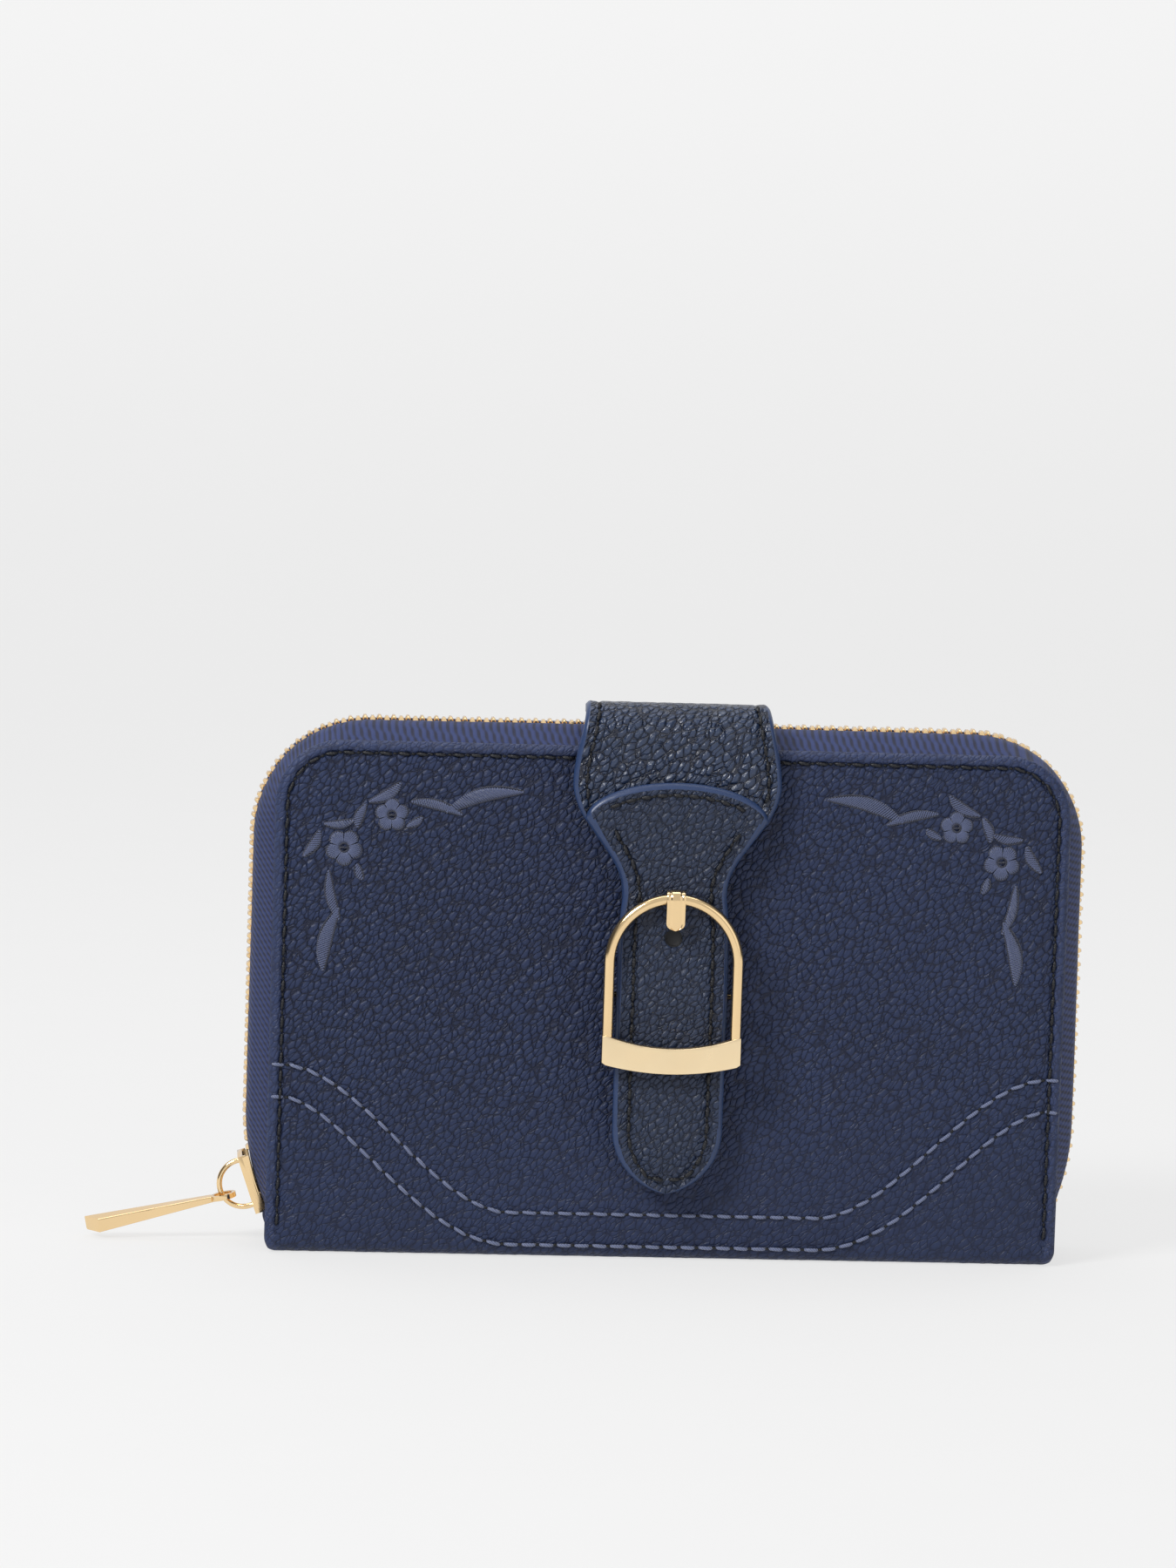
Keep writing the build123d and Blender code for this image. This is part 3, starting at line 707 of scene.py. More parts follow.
EDGE_LOW, EDGE_SINK = 4.5, 0.2
EDGE_SEWING = (3.3, 2.2, 0.3)
front_edge = sewing("front_edge_stitches", [cover_path(EDGE_SINK - FACE_Y)], away(-1), *EDGE_SEWING)
place(front_edge, "front_cover", ["edge_stitching"])
back_edge = sewing("back_edge_stitches", [cover_path(FACE_Y - EDGE_SINK)], away(1), *EDGE_SEWING)
place(back_edge, "root")


def wave_points(drop):
    """One wave line from the left edge to the right edge, at a square distance below the upper line."""
    path = []
    count = 160
    for index in range(count + 1):
        x = WAVE_END * (2 * index / count - 1)
        slope = wave_slope(x)
        steep = math.hypot(1, slope)
        px, pz = x + slope / steep * drop, wave_height(x) - drop / steep
        if abs(px) <= WAVE_END:
            near = cover_edge_distance(px, pz)
            lift = 0.22 * smooth_step((near - STITCH_INSET) / 6) - 0.38 * bell(near, STITCH_INSET, 0.5)
            path.append(Vector((px, -FACE_Y - lift + 0.05, pz)))
    return path


WAVE_SEWING = (3.25, 2.5, 0.33, "wave", 0.05)
wave_upper = sewing("wave_stitches_upper", [wave_points(0)], away(-1), *WAVE_SEWING)
place(wave_upper, "front_cover", ["wave_stitching"])
wave_lower = sewing("wave_stitches_lower", [wave_points(WAVE_GAP)], away(-1), *WAVE_SEWING)
place(wave_lower, "front_cover")

# --- Embroidery: a generic sprig of flowers, leaves and tendrils in both corners ---

EMBROIDERY_Y = -FACE_Y - 0.26
SATIN_R = 0.17


def satin_leaf(start, end, width, curve, ribs):
    """Slanted satin threads filling a leaf between two points, and its outline."""
    a, b = Vector(start), Vector(end)
    along = (b - a).normalized()
    sideways = Vector((-along.y, along.x))
    threads = []
    for index in range(ribs):
        t = (index + 0.5) / ribs
        half = width / 2 * math.sin(math.pi * t) ** 0.75
        middle = a.lerp(b, t) + sideways * curve * math.sin(math.pi * t)
        lean = along * half * 0.7
        threads.append((middle - sideways * half - lean, middle + sideways * half + lean, 0.10))
    outline = []
    for sign in (1, -1):
        edge = []
        for index in range(13):
            t = index / 12
            half = width / 2 * math.sin(math.pi * t) ** 0.75
            edge.append(a.lerp(b, t) + sideways * (curve * math.sin(math.pi * t) + sign * (half + 0.08)))
        outline.append(edge)
    return threads, outline


def satin_petal(centre, angle, reach, ribs=9):
    """One round petal of satin threads that fan out from the flower's eye."""
    threads, rim = [], []
    spread = math.radians(29)
    for index in range(ribs):
        offset = spread * (2 * index / (ribs - 1) - 1)
        turn = angle + offset
        far = reach * (1.0 - 0.18 * (offset / spread) ** 2)
        heading = Vector((math.cos(turn), math.sin(turn)))
        threads.append((centre + heading * reach * 0.30, centre + heading * far, 0.13))
        rim.append(centre + heading * (far + 0.06))
    first = centre + Vector((math.cos(angle - spread), math.sin(angle - spread))) * reach * 0.3
    last = centre + Vector((math.cos(angle + spread), math.sin(angle + spread))) * reach * 0.3
    return threads, [[first] + rim + [last]]


def sprig():
    """Threads, outlines and flower eyes of the right hand sprig, in x and z."""
    threads, outlines, eyes = [], [], []
    for x, z, reach, turn in ((51.4, 80.7, 2.9, 0.3), (59.9, 74.6, 3.2, 0.9)):
        centre = Vector((x, z))
        for index in range(5):
            more, rim = satin_petal(centre, turn + math.tau * index / 5, reach)
            threads += more
            outlines += rim
        eyes.append((centre, reach * 0.26))
    leaves = (
        ((55.6, 83.0), (49.9, 86.6), 1.7, 0.7),
        ((56.2, 82.6), (57.6, 78.2), 1.5, 0.4),
        ((48.6, 78.6), (45.9, 80.4), 1.2, 0.2),
        ((63.6, 78.8), (58.2, 79.6), 1.3, 0.5),
        ((64.4, 77.6), (67.2, 72.8), 1.6, -0.5),
        ((57.6, 71.6), (56.4, 68.8), 1.2, 0.2),
        ((48.0, 83.2), (38.6, 81.0), 1.5, -0.6),
        ((41.6, 81.4), (27.6, 85.4), 2.3, -1.4),
        ((62.6, 70.4), (60.4, 61.4), 1.5, 0.7),
        ((60.6, 63.6), (63.2, 52.0), 2.3, 1.0),
    )
    for start, end, width, curve in leaves:
        length = math.dist(start, end)
        more, rim = satin_leaf(start, end, width, curve, max(7, round(length * 2.4)))
        threads += more
        outlines += rim
    return threads, outlines, eyes


def embroidery():
    """Both sprigs: satin threads, and dark outlines and flower eyes that paint the shade between the petals
    and in the flower centres.
    """
    satin, dark = [], []
    threads, outlines, eyes = sprig()
    for mirror in (-1, 1):
        for start, end, raised in threads:
            run = []
            for index in range(5):
                t = index / 4
                flat = start.lerp(end, t)
                y = EMBROIDERY_Y - raised - 0.14 * math.sin(math.pi * t)
                run.append(Vector((mirror * flat.x, y, flat.y)))
            satin.append(run)
        for edge in outlines:
            dark.append([Vector((mirror * p.x, EMBROIDERY_Y - 0.1, p.y)) for p in edge])
        for centre, reach in eyes:
            middle = Vector((centre.x, EMBROIDERY_Y - 0.22, centre.y))
            across = [middle + Vector((side * reach, -0.02, 0)) for side in (-1, 1)]
            for edge in (ring_points(middle, reach, 12), across):
                dark.append([Vector((mirror * p.x, p.y, p.z)) for p in edge])
    satin_piece = tubes("embroidery_satin", satin, SATIN_R, "satin", 6)
    place(satin_piece, "front_cover", ["corner_embroidery"])
    place(tubes("embroidery_outline_shade", dark, SATIN_R, "outline", 5), "front_cover")


embroidery()

# --- Zip: tapes, teeth, stops, slider and puller -----------------------------------


def run_points(half, top, corner, bend_radius, counts):
    """Points along the zip outline from the left foot to the right foot, in x and z."""
    curl = math.asin((ZIP_BEND_Z - ZIP_LOW) / bend_radius)
    small, tall, round_, wide = counts
    points = []
    for index in range(small):
        angle = curl * (1 - index / small)
        x, drop = bend_radius * (1 - math.cos(angle)) - half, bend_radius * math.sin(angle)
        points.append((x, ZIP_BEND_Z - drop))
    for index in range(tall):
        points.append((-half, ZIP_BEND_Z + (top - corner - ZIP_BEND_Z) * index / tall))
    for index in range(round_):
        angle = math.pi / 2 * index / round_
        points.append((-half + corner * (1 - math.cos(angle)), top - corner + corner * math.sin(angle)))
    for index in range(wide + 1):
        points.append(((corner - half) * (1 - 2 * index / wide), top))
    return points + [(-x, z) for x, z in reversed(points[: small + tall + round_])]


RUN_COUNTS = (10, 24, 20, 50)
SEAM_IN, SEAM_BEND = 1.7, 200.0
teeth_run = run_points(ZIP_HALF, ZIP_TOP, ZIP_CORNER, ZIP_BEND, RUN_COUNTS)
seam_run = run_points(HALF_WIDTH - SEAM_IN, HEIGHT - SEAM_IN, CORNER - SEAM_IN, SEAM_BEND, RUN_COUNTS)


def zip_tape(name, side):
    """One tape: from its seam inside the cover it curves outwards to the teeth."""
    across = 14
    points = []
    edge_y = 0.9
    for layer in (-1, 1):
        for (tx, tz), (sx, sz) in zip(teeth_run, seam_run):
            out = Vector((tx - sx, tz - sz))
            outward = out.normalized() if out.length > 0.1 else Vector((1 if tx > 0 else -1, 0))
            for index in range(across + 1):
                share = index / across
                reach = math.sin(share * math.pi / 2)
                slack = 0.16 * math.sin(share * math.pi) * noise.noise(Vector((tx * 0.09, tz * 0.09, side)))
                cord = smooth_step((share - 0.45) / 0.2) * (1 - smooth_step((share - 0.86) / 0.1))
                thick = 0.26 + 0.24 * cord
                x = sx + (tx - sx) * reach + outward.x * (layer * thick + slack)
                z = sz + (tz - sz) * reach + outward.y * (layer * thick + slack)
                points.append((x, side * (SEAM_Y + (edge_y - SEAM_Y) * share), z))
    faces = sheet_faces(len(teeth_run), across + 1)
    return tidy_mesh(make_object(name, points, faces, ["tape"]))


# y across the zip, half length along it, half thickness outwards
TOOTH_SECTIONS = (
    (-2.4, 0.52, 0.85), (-2.1, 0.60, 1.05), (-0.6, 0.60, 1.1),
    (-0.2, 0.46, 1.0), (0.3, 0.58, 1.0), (0.6, 0.36, 0.75),
)


def tooth_shape():
    """One cast tooth: a body that grips the tape and a rounded head, as eight sided rings."""
    points = []
    for y, half_long, half_thick in TOOTH_SECTIONS:
        for turn in range(8):
            angle = math.tau * (turn + 0.5) / 8
            cx, cz = math.cos(angle), math.sin(angle)
            stretch = 1 / max(abs(cx), abs(cz))
            soft = stretch * (0.82 + 0.18 * min(stretch - 1, 0.4) / 0.4)
            points.append((half_long * cx * soft, y, half_thick * cz * soft))
    return points, ring_faces(len(TOOTH_SECTIONS), 8)


SLIDER_TOP = box_mm("zip_slider_body")[1][2]


def teeth(name, side, offset):
    """One row of teeth along the zip, one pitch apart, from above the slider to the right foot."""
    shape, shape_faces = tooth_shape()
    run = run_points(ZIP_HALF, ZIP_TOP, ZIP_CORNER, ZIP_BEND, (60, 60, 60, 60))
    path = [Vector((x, 0, z)) for x, z in run]
    lengths = [0.0]
    for a, b in zip(path, path[1:]):
        lengths.append(lengths[-1] + (b - a).length)
    points, faces, index = [], [], 0
    for step in range(1, int(lengths[-1] / PITCH)):
        want = (step + offset) * PITCH
        while lengths[index + 1] < want:
            index += 1
        share = (want - lengths[index]) / (lengths[index + 1] - lengths[index])
        middle = path[index].lerp(path[index + 1], share)
        along = (path[index + 1] - path[index]).normalized()
        out = Vector((-along.z, 0, along.x))
        if middle.x < 0 and middle.z < SLIDER_TOP - 1.0:
            continue
        base = len(points)
        for x, y, z in shape:
            points.append(tuple(middle + along * x + out * z + Vector((0, -side * y, 0))))
        faces += [[i + base for i in face] for face in shape_faces]
    return shade_smooth(tidy_mesh(make_object(name, points, faces, ["gold"], smooth=False)), 50)


TAPE_BEND = ("root", "front_cover", (0, 0, 3.0), (0, 0, 14.0))
bend(zip_tape("front_tape", -1), *TAPE_BEND, "zip_tape", ["front_zip_tape"])
place(zip_tape("back_tape", 1), "root", ["back_zip_tape"])
bend(teeth("front_teeth", -1, 0.0), *TAPE_BEND, "gold_metal", ["front_zip_teeth"])
place(teeth("back_teeth", 1, 0.5), "root", ["back_zip_teeth"])
for node, name, body, width, segments in (
    ("front_zip_stop", "front_stop", "front_cover", 0.25, 2),
    ("back_zip_stop", "back_stop", "root", 0.25, 2),
    ("zip_box_stop", "box_stop", "root", 0.25, 2),
    ("zip_slider_body", "slider_body", "zip_slider", 0.22, 3),
    ("zip_puller", "puller_bar", "puller", 0.18, 3),
):
    bevelled_copy(node, name, "gold", body, width, segments)

SLIDER_Z, SLIDER_HALF, SLIDER_SIDE, PLATE_INNER = 11.5, 5.2, 3.9, 1.5
SLIDER_LEAN = math.asin((ZIP_BEND_Z - SLIDER_Z) / ZIP_BEND)


def slider_flanges():
    """Turned in sides of the slider's outer plate, which follow the curve of the tape with a narrow slot."""
    outward = Vector((-math.cos(SLIDER_LEAN), 0, -math.sin(SLIDER_LEAN)))
    along = Vector((-math.sin(SLIDER_LEAN), 0, math.cos(SLIDER_LEAN)))
    origin = Vector((ZIP_BEND * (1 - math.cos(SLIDER_LEAN)) - ZIP_HALF, 0, SLIDER_Z))
    points, faces = [], []
    steps = 16
    for side in (-1, 1):
        faces += [tuple(i + len(points) for i in face) for face in ring_faces(steps + 1, 4)]
        for index in range(steps + 1):
            run = SLIDER_HALF * (2 * index / steps - 1)
            low = 0.6 - run * run / (2 * ZIP_BEND)
            for y, out in ((-0.28, low), (0.28, low), (0.34, PLATE_INNER), (-0.34, PLATE_INNER)):
                across = Vector((0, side * SLIDER_SIDE + y, 0))
                points.append(tuple(origin + along * run + outward * out + across))
    return shade_smooth(tidy_mesh(make_object("slider_flanges", points, faces, ["gold"], smooth=False)), 40)


place(slider_flanges(), "zip_slider")

# --- Strap over the top --------------------------------------------------------------

BEND = 5.0
STRAP_STEP = 0.45
PAINTED = 0.85
# height and half width
NARROW_KNOTS = (
    (25.0, 10.0), (45.0, 10.05), (60.0, 10.0), (65.0, 9.7), (68.2, 9.4),
    (71.3, 9.95), (74.3, 11.5), (77.4, 13.7), (81.4, 16.6),
)
TAB_KNOTS = (
    (81.0, 16.6), (83.0, 17.7), (85.5, 18.6), (88.0, 18.9), (92.0, 18.5), (97.0, 17.5), (102.0, 16.7),
)
BACK_HALF, BACK_DROP = 15.0, 2.6
UNDER_HALF, UNDER_LOW, UNDER_ROUND = 9.4, 14.0, 10.0
TAB_INSET, NARROW_INSET, ARCH_INSET = 2.4, 2.9, 2.2
STRAP_SEWING = (3.0, 1.9)
STRAP_THREAD, BUCKLE_THREAD = 0.33, 0.36


def tab_half(z):
    """Half width of the wide strap on the front, by height."""
    if z > TAB_KNOTS[0][0]:
        return through(TAB_KNOTS, z)
    return through(NARROW_KNOTS, z) + 0.2


def strap_path():
    """Outer skin from the sewn end on the back, over the top, to the strap's end at the front."""
    rows = []
    back_y, top_z, front_y = sewn_high[1], over_high[2], over_low[1]
    out_radius = BEND + STRAP / 2
    back_bend_z = top_z - BACK_DROP - out_radius
    z = sewn_low[2]
    while z < back_bend_z:
        rows.append((back_y, z, 1.0, 0.0, BACK_HALF, 0.0))
        z += STRAP_STEP
    for index in range(13):
        angle = math.pi / 2 * index / 12
        ny, nz = math.cos(angle), math.sin(angle)
        rows.append((back_y - out_radius * (1 - ny), back_bend_z + out_radius * nz, ny, nz, BACK_HALF, 0.0))
    count = 36
    start, stop = back_y - out_radius, front_y + out_radius
    for index in range(1, count):
        share = index / count
        climb = smooth_step(share)
        half = BACK_HALF + (TAB_KNOTS[-1][1] - BACK_HALF) * climb
        tilt = BACK_DROP * 6 * share * (1 - share) / abs(stop - start)
        steep = math.hypot(1, tilt)
        y, z = start + (stop - start) * share, top_z - BACK_DROP * (1 - climb)
        rows.append((y, z, tilt / steep, 1 / steep, half, 0.0))
    for index in range(13):
        angle = math.pi / 2 * index / 12
        ny, nz = -math.sin(angle), math.cos(angle)
        z = top_z - out_radius * (1 - nz)
        rows.append((front_y + out_radius * (1 + ny), z, ny, nz, tab_half(z), 0.0))
    z = top_z - out_radius - STRAP_STEP
    while z > UNDER_LOW + 0.5:
        half = UNDER_HALF + (tab_half(z) - UNDER_HALF) * smooth_step((z - 66) / 6)
        if z < UNDER_LOW + UNDER_ROUND:
            half = UNDER_HALF * math.sqrt(max((z - UNDER_LOW) / UNDER_ROUND, 0.02))
        rows.append((front_y, z, -1.0, 0.0, half, 0.0))
        z -= STRAP_STEP
    return rows


def strap_relief(x, y, z, near):
    """Edge rounded over with a thick coat of paint, a stitch groove, and pebbles."""
    edge = -0.6 * (1 - min(near / 0.9, 1)) ** 2 + 0.08 * bell(near, 0.8, 0.4)
    groove = -0.22 * bell(near, TAB_INSET, 0.35)
    grain = 0.07 * (pebble(x, y, z + 40, 1.7) - 0.5) * smooth_step((near - 0.6) / 1.2)
    return edge + groove + grain


REAR_BEND = ("root", "strap_over_top", (0, 0, 85), (0, 0, 91))
FORE_BEND = ("strap_over_top", "strap_flap", (0, 0, 99.5), (0, 0, 91))
STRAP_FINISH = ["tab", "inner", "edge"]
strap_rows = strap_path()
split_row = next(i for i, row in enumerate(strap_rows) if row[0] <= 0 and row[3] > 0.9)
for name, rows, joint, replaced in (
    ("strap_rear", strap_rows[: split_row + 1], REAR_BEND, ["strap_back", "strap_top"]),
    ("strap_fore", strap_rows[split_row:], FORE_BEND, ["strap_front"]),
):
    half_strap = strip(name, rows, 84, STRAP, strap_relief, STRAP_FINISH, painted=PAINTED)
    bend(half_strap, *joint, "strap_leather", replaced)


def strap_side_path(first, last):
    """Left then right stitch lines of the wide strap between two row numbers."""
    lines = []
    for sign in (-1, 1):
        line = []
        for y, z, ny, nz, half, _ in strap_rows[first:last]:
            line.append(Vector((sign * (half - TAB_INSET), y - ny * 0.2, z - nz * 0.2)))
        lines.append(line)
    return lines


def strap_outward(point):
    """Outward direction of the wide strap at a point of its skin."""
    best = min(strap_rows, key=lambda row: (row[0] - point.y) ** 2 + (row[1] - point.z) ** 2)
    return (0.0, best[2], best[3])


rear_last = next(i for i, row in enumerate(strap_rows) if row[2] < 0.5)
rear_lines = strap_side_path(3, rear_last)
rear_reach = BACK_HALF - TAB_INSET
rear_lines.append([Vector((x, sewn_high[1] - 0.05, sewn_low[2] + 2.0)) for x in (-rear_reach, 0, rear_reach)])
rear_stitches = sewing("strap_rear_stitches", rear_lines, strap_outward, *STRAP_SEWING, STRAP_THREAD)
bend(rear_stitches, *REAR_BEND, "thread")
tab_last = next(i for i, row in enumerate(strap_rows) if row[2] < -0.9 and row[1] < 84)
fore_lines = strap_side_path(split_row + 20, tab_last)
fore_stitches = sewing("strap_fore_stitches", fore_lines, strap_outward, *STRAP_SEWING, STRAP_THREAD)
bend(fore_stitches, *FORE_BEND, "thread")

# --- Buckle strap -----------------------------------------------------------------------

STRAP_TIP, STRAP_APEX = layer_low[2], layer_high[2]
SHOULDER_Z, NARROW = NARROW_KNOTS[0]
FLARE_Z, FLARE_HALF = NARROW_KNOTS[-1]
TIP_TURN, BOW_LOW, HIDDEN_BAR_Z = 26.0, 66.0, 49.0


def arch_drop(x):
    """How far the arched top edge falls at x."""
    share = min(abs(x) / (FLARE_HALF + 0.02), 1.0)
    return (STRAP_APEX - FLARE_Z) * 1.05 * (1 - math.sqrt(max(1 - share * share, 0.0)))


def knot_half(z):
    """Half width of the buckle strap at a height: a pointed tip, then the outline's knots."""
    if z <= SHOULDER_Z:
        t = (z - STRAP_TIP) / (SHOULDER_Z - STRAP_TIP)
        return NARROW * math.sin(math.pi / 2 * max(t, 0) ** 0.63)
    return through(NARROW_KNOTS, z)


def buckle_rows():
    """Rows from the arched top down to the pointed tip. The strap rises a little over the hidden bar."""
    rows = []
    count = 250
    for index in range(count + 1):
        side_z = FLARE_Z - (FLARE_Z - STRAP_TIP) * index / count
        if side_z < TIP_TURN:
            rest = (TIP_TURN - side_z) / (TIP_TURN - STRAP_TIP)
            side_z = TIP_TURN - (TIP_TURN - STRAP_TIP) * math.sin(math.pi / 2 * rest) ** 0.9
        bow = smooth_step((side_z - BOW_LOW) / (FLARE_Z - BOW_LOW))
        middle_z = side_z + bow * arch_drop(knot_half(side_z))
        rise = 0.9 * bell(side_z, HIDDEN_BAR_Z, 5.5) + 0.25 * bell(side_z, 62.0, 4.0)
        rows.append((SKIN_Y - rise, middle_z, -1.0, 0.0, max(knot_half(side_z), 0.05), bow))
    return rows


HOLE_Z, HOLE_R = 60.0, 1.6
TOP_RIM = 1.35


def buckle_near(x, z, side_distance):
    """Distance to the nearest edge of the buckle strap."""
    near = side_distance
    if z > 76:
        near = min(near, (FLARE_Z + arch_drop(FLARE_HALF) - arch_drop(x) - z) * TOP_RIM)
    if z < SHOULDER_Z:
        near = min(near, side_distance * 0.8 + 0.05)
    return near


def buckle_relief(x, y, z, near):
    """Raised painted rim, stitch groove, punched hole and pebbles."""
    edge = -0.6 * (1 - min(near / 0.9, 1)) ** 2 + 0.1 * bell(near, 0.85, 0.4)
    groove = -0.2 * bell(near, NARROW_INSET if z < 80 else ARCH_INSET * TOP_RIM, 0.4)
    hole = -1.1 * smooth_step((HOLE_R + 0.25 - math.hypot(x, z - HOLE_Z)) / 0.5)
    grain = 0.05 * (pebble(x, y, z, 1.3) - 0.5) * smooth_step((near - 0.6) / 1.2)
    return edge + groove + hole + grain


buckle_skin_rows = buckle_rows()
buckle_leather = strip(
    "buckle_strap_leather", buckle_skin_rows, 84, LAYER, buckle_relief, ["strap", "inner", "edge"],
    arch_drop, buckle_near, PAINTED,
)
place(buckle_leather, "strap_flap", ["buckle_strap"])


def buckle_stitch_paths():
    """Stitches down both sides to the tip, and over the arched top."""
    sides = []
    for sign in (-1, 1):
        line = []
        for y, z, _, _, half, bow in buckle_skin_rows:
            x = max(half - NARROW_INSET, 0.0)
            point = Vector((sign * x, y + 0.1, z - bow * arch_drop(x)))
            if STRAP_TIP + 2.9 < point.z < 80.0:
                line.append(point)
        line.append(Vector((0, buckle_skin_rows[-1][0] + 0.14, STRAP_TIP + 2.6)))
        sides.append(line)
    top = []
    for index in range(25):
        x = 12.6 * (2 * index / 24 - 1)
        z = FLARE_Z + arch_drop(FLARE_HALF) - ARCH_INSET - arch_drop(x) * 1.1
        top.append(Vector((x, buckle_skin_rows[0][0] + 0.14, z)))
    return sides + [top]


buckle_lines = buckle_stitch_paths()
buckle_stitches = sewing("buckle_strap_stitches", buckle_lines, away(-1), *STRAP_SEWING, BUCKLE_THREAD)
place(buckle_stitches, "strap_flap")

# a dark ring round the wall of the punched hole: painted shade
hole_rim = tubes("hole_rim", [ring_points(Vector((0, SKIN_Y + 0.45, HOLE_Z)), HOLE_R, 24)], 0.22, "hole", 6)
place(hole_rim, "strap_flap")


def hole_floor():
    """Near black disc deep in the punched hole: painted shade."""
    sides = 28
    points = [(0, SKIN_Y + 0.75, HOLE_Z)]
    for radius, depth in ((0.8, 0.7), (1.3, 0.5), (1.6, 0.28)):
        points += ring_points(Vector((0, SKIN_Y + depth, HOLE_Z)), radius, sides)[:-1]
    faces = [(0, 1 + (i + 1) % sides, 1 + i) for i in range(sides)]
    for inner in (1, 1 + sides):
        outer = inner + sides
        for i in range(sides):
            after = (i + 1) % sides
            faces.append((inner + i, inner + after, outer + after, outer + i))
    return make_object("hole_floor", points, faces, ["hole"])


place(hole_floor(), "strap_flap")

# --- Buckle --------------------------------------------------------------------------------

ROD, PLATED_ROD = 0.9, 1.0
BUCKLE_Y = -19.8
BUCKLE_HALF = 11.65
ARCH_FOOT = 5.0
ARCH_Z = frame_high[2] - ROD - BUCKLE_HALF
BAR_HALF = (frame_high[0] - frame_low[0]) / 2
BAR_LOW = frame_low[2]
COLLAR_R, TONGUE = 1.36, 5.6


def buckle_arch():
    """Round rod: two straight sides and a half circle."""
    tall = ARCH_Z - BAR_LOW - ARCH_FOOT
    side = [(BUCKLE_HALF, ARCH_Z - tall * i / 10) for i in range(1, 11)]
    turns = [math.pi * (1 - index / 48) for index in range(49)]
    round_top = [(BUCKLE_HALF * math.cos(t), ARCH_Z + BUCKLE_HALF * math.sin(t)) for t in turns]
    outline = [(-x, z) for x, z in reversed(side)] + round_top + side
    return [Vector((x, BUCKLE_Y, z)) for x, z in outline]


def buckle_bar():
    """Flat bar with rounded edges that bows downwards."""
    points = []
    across, around = 40, 48
    for column in range(across + 1):
        share = 2 * column / across - 1
        x = BAR_HALF * share
        low, high = BAR_LOW + 0.5 + 1.6 * share * share, BAR_LOW + 5.2 + 2.4 * share * share
        centre_z, half_z = (low + high) / 2, (high - low) / 2
        end_soft = 1 - 0.10 * smooth_step((abs(share) - 0.97) / 0.03)
        for turn in range(around):
            angle = math.tau * turn / around
            cy, cz = math.cos(angle), math.sin(angle)
            py = math.copysign(abs(cy) ** 0.22, cy) * 0.95 * end_soft
            pz = math.copysign(abs(cz) ** 0.13, cz) * half_z * end_soft
            points.append((x, BUCKLE_Y - 0.25 + py, centre_z + pz))
    faces = ring_faces(across + 1, around)
    return tidy_mesh(make_object("buckle_bar", points, faces, ["bar"]))


buckle_rod = tubes("buckle_arch", [buckle_arch()], PLATED_ROD, "gold", 28)
place(buckle_rod, "strap_flap", ["buckle_frame"])
place(shade_smooth(buckle_bar(), 40), "strap_flap")
HIDDEN_BAR_Y, HIDDEN_BAR_R = -13.9, 0.55
right_half = [
    Vector((BUCKLE_HALF - 0.6, HIDDEN_BAR_Y, HIDDEN_BAR_Z)),
    Vector((BUCKLE_HALF, HIDDEN_BAR_Y - 1.1, HIDDEN_BAR_Z)),
    Vector((BUCKLE_HALF, BUCKLE_Y, HIDDEN_BAR_Z)),
]
hidden_bar = [Vector((-p.x, p.y, p.z)) for p in reversed(right_half)] + right_half
place(tubes("buckle_centre_bar", [hidden_bar], HIDDEN_BAR_R, "gold", 12), "strap_flap")


def prong():
    """A collar round the arch and a tongue with a rounded tip, grooved beside its middle."""
    points = []
    half = (prong_high[0] - prong_low[0]) / 2
    top_z = ARCH_Z + BUCKLE_HALF
    collar = []
    for index in range(23):
        angle = math.radians(-50 + 230 * index / 22)
        out, up = math.cos(angle), math.sin(angle)
        collar.append((BUCKLE_Y + COLLAR_R * out, top_z + COLLAR_R * up, half, out, up))
    tongue = []
    for index in range(1, 19):
        t = index / 18
        narrow = half * (1 if t < 0.76 else math.sqrt(max(1 - ((t - 0.76) / 0.243) ** 2, 0.02)))
        y = BUCKLE_Y - COLLAR_R + 0.3 * smooth_step(t * 1.4)
        tongue.append((y, top_z - TONGUE * t, narrow, -1.0, 0.0))
    path = collar + tongue
    across = 24
    for layer in (0.24, -0.18):
        for y, z, wide, ny, nz in path:
            for column in range(across + 1):
                u = 2 * column / across - 1
                crown = layer
                if layer > 0:
                    crown += 0.16 * (1 - u**4) - 0.2 * bell(abs(u), 0.62, 0.1)
                points.append((u * wide, y + ny * crown, z + nz * crown))
    faces = sheet_faces(len(path), across + 1)
    return shade_smooth(tidy_mesh(make_object("prong_tongue", points, faces, ["gold"])), 50)


place(prong(), "prong", ["buckle_prong"])

for node, name, body in (
    ("snap_stud", "snap_stud_disc", "strap_flap"),
    ("snap_stud_washer", "snap_stud_back", "strap_flap"),
    ("snap_socket", "snap_socket_disc", "front_cover"),
    ("snap_socket_washer", "snap_socket_back", "front_cover"),
):
    bevelled_copy(node, name, "gold", body, 0.15)

# --- Inside: linings, card slots, gussets and coin pocket ------------------------------------


SEAM_INSET, SEAM_FOOT = 1.8, 3.0
PANEL_SEWING = (3.0, 2.2, 0.16)


def flat_rows(y, facing, low, high, corner, count):
    """Rows of a flat upright panel with rounded corners, from its top to its foot."""
    rows = []
    for index in range(count + 1):
        z = high[2] - (high[2] - low[2]) * index / count
        over = max(z - (high[2] - corner), corner - (z - low[2]), 0.0)
        width = high[0] - corner + math.sqrt(max(corner * corner - over * over, 0.0))
        rows.append((y, z, float(facing), 0.0, width, 0.0))
    return rows


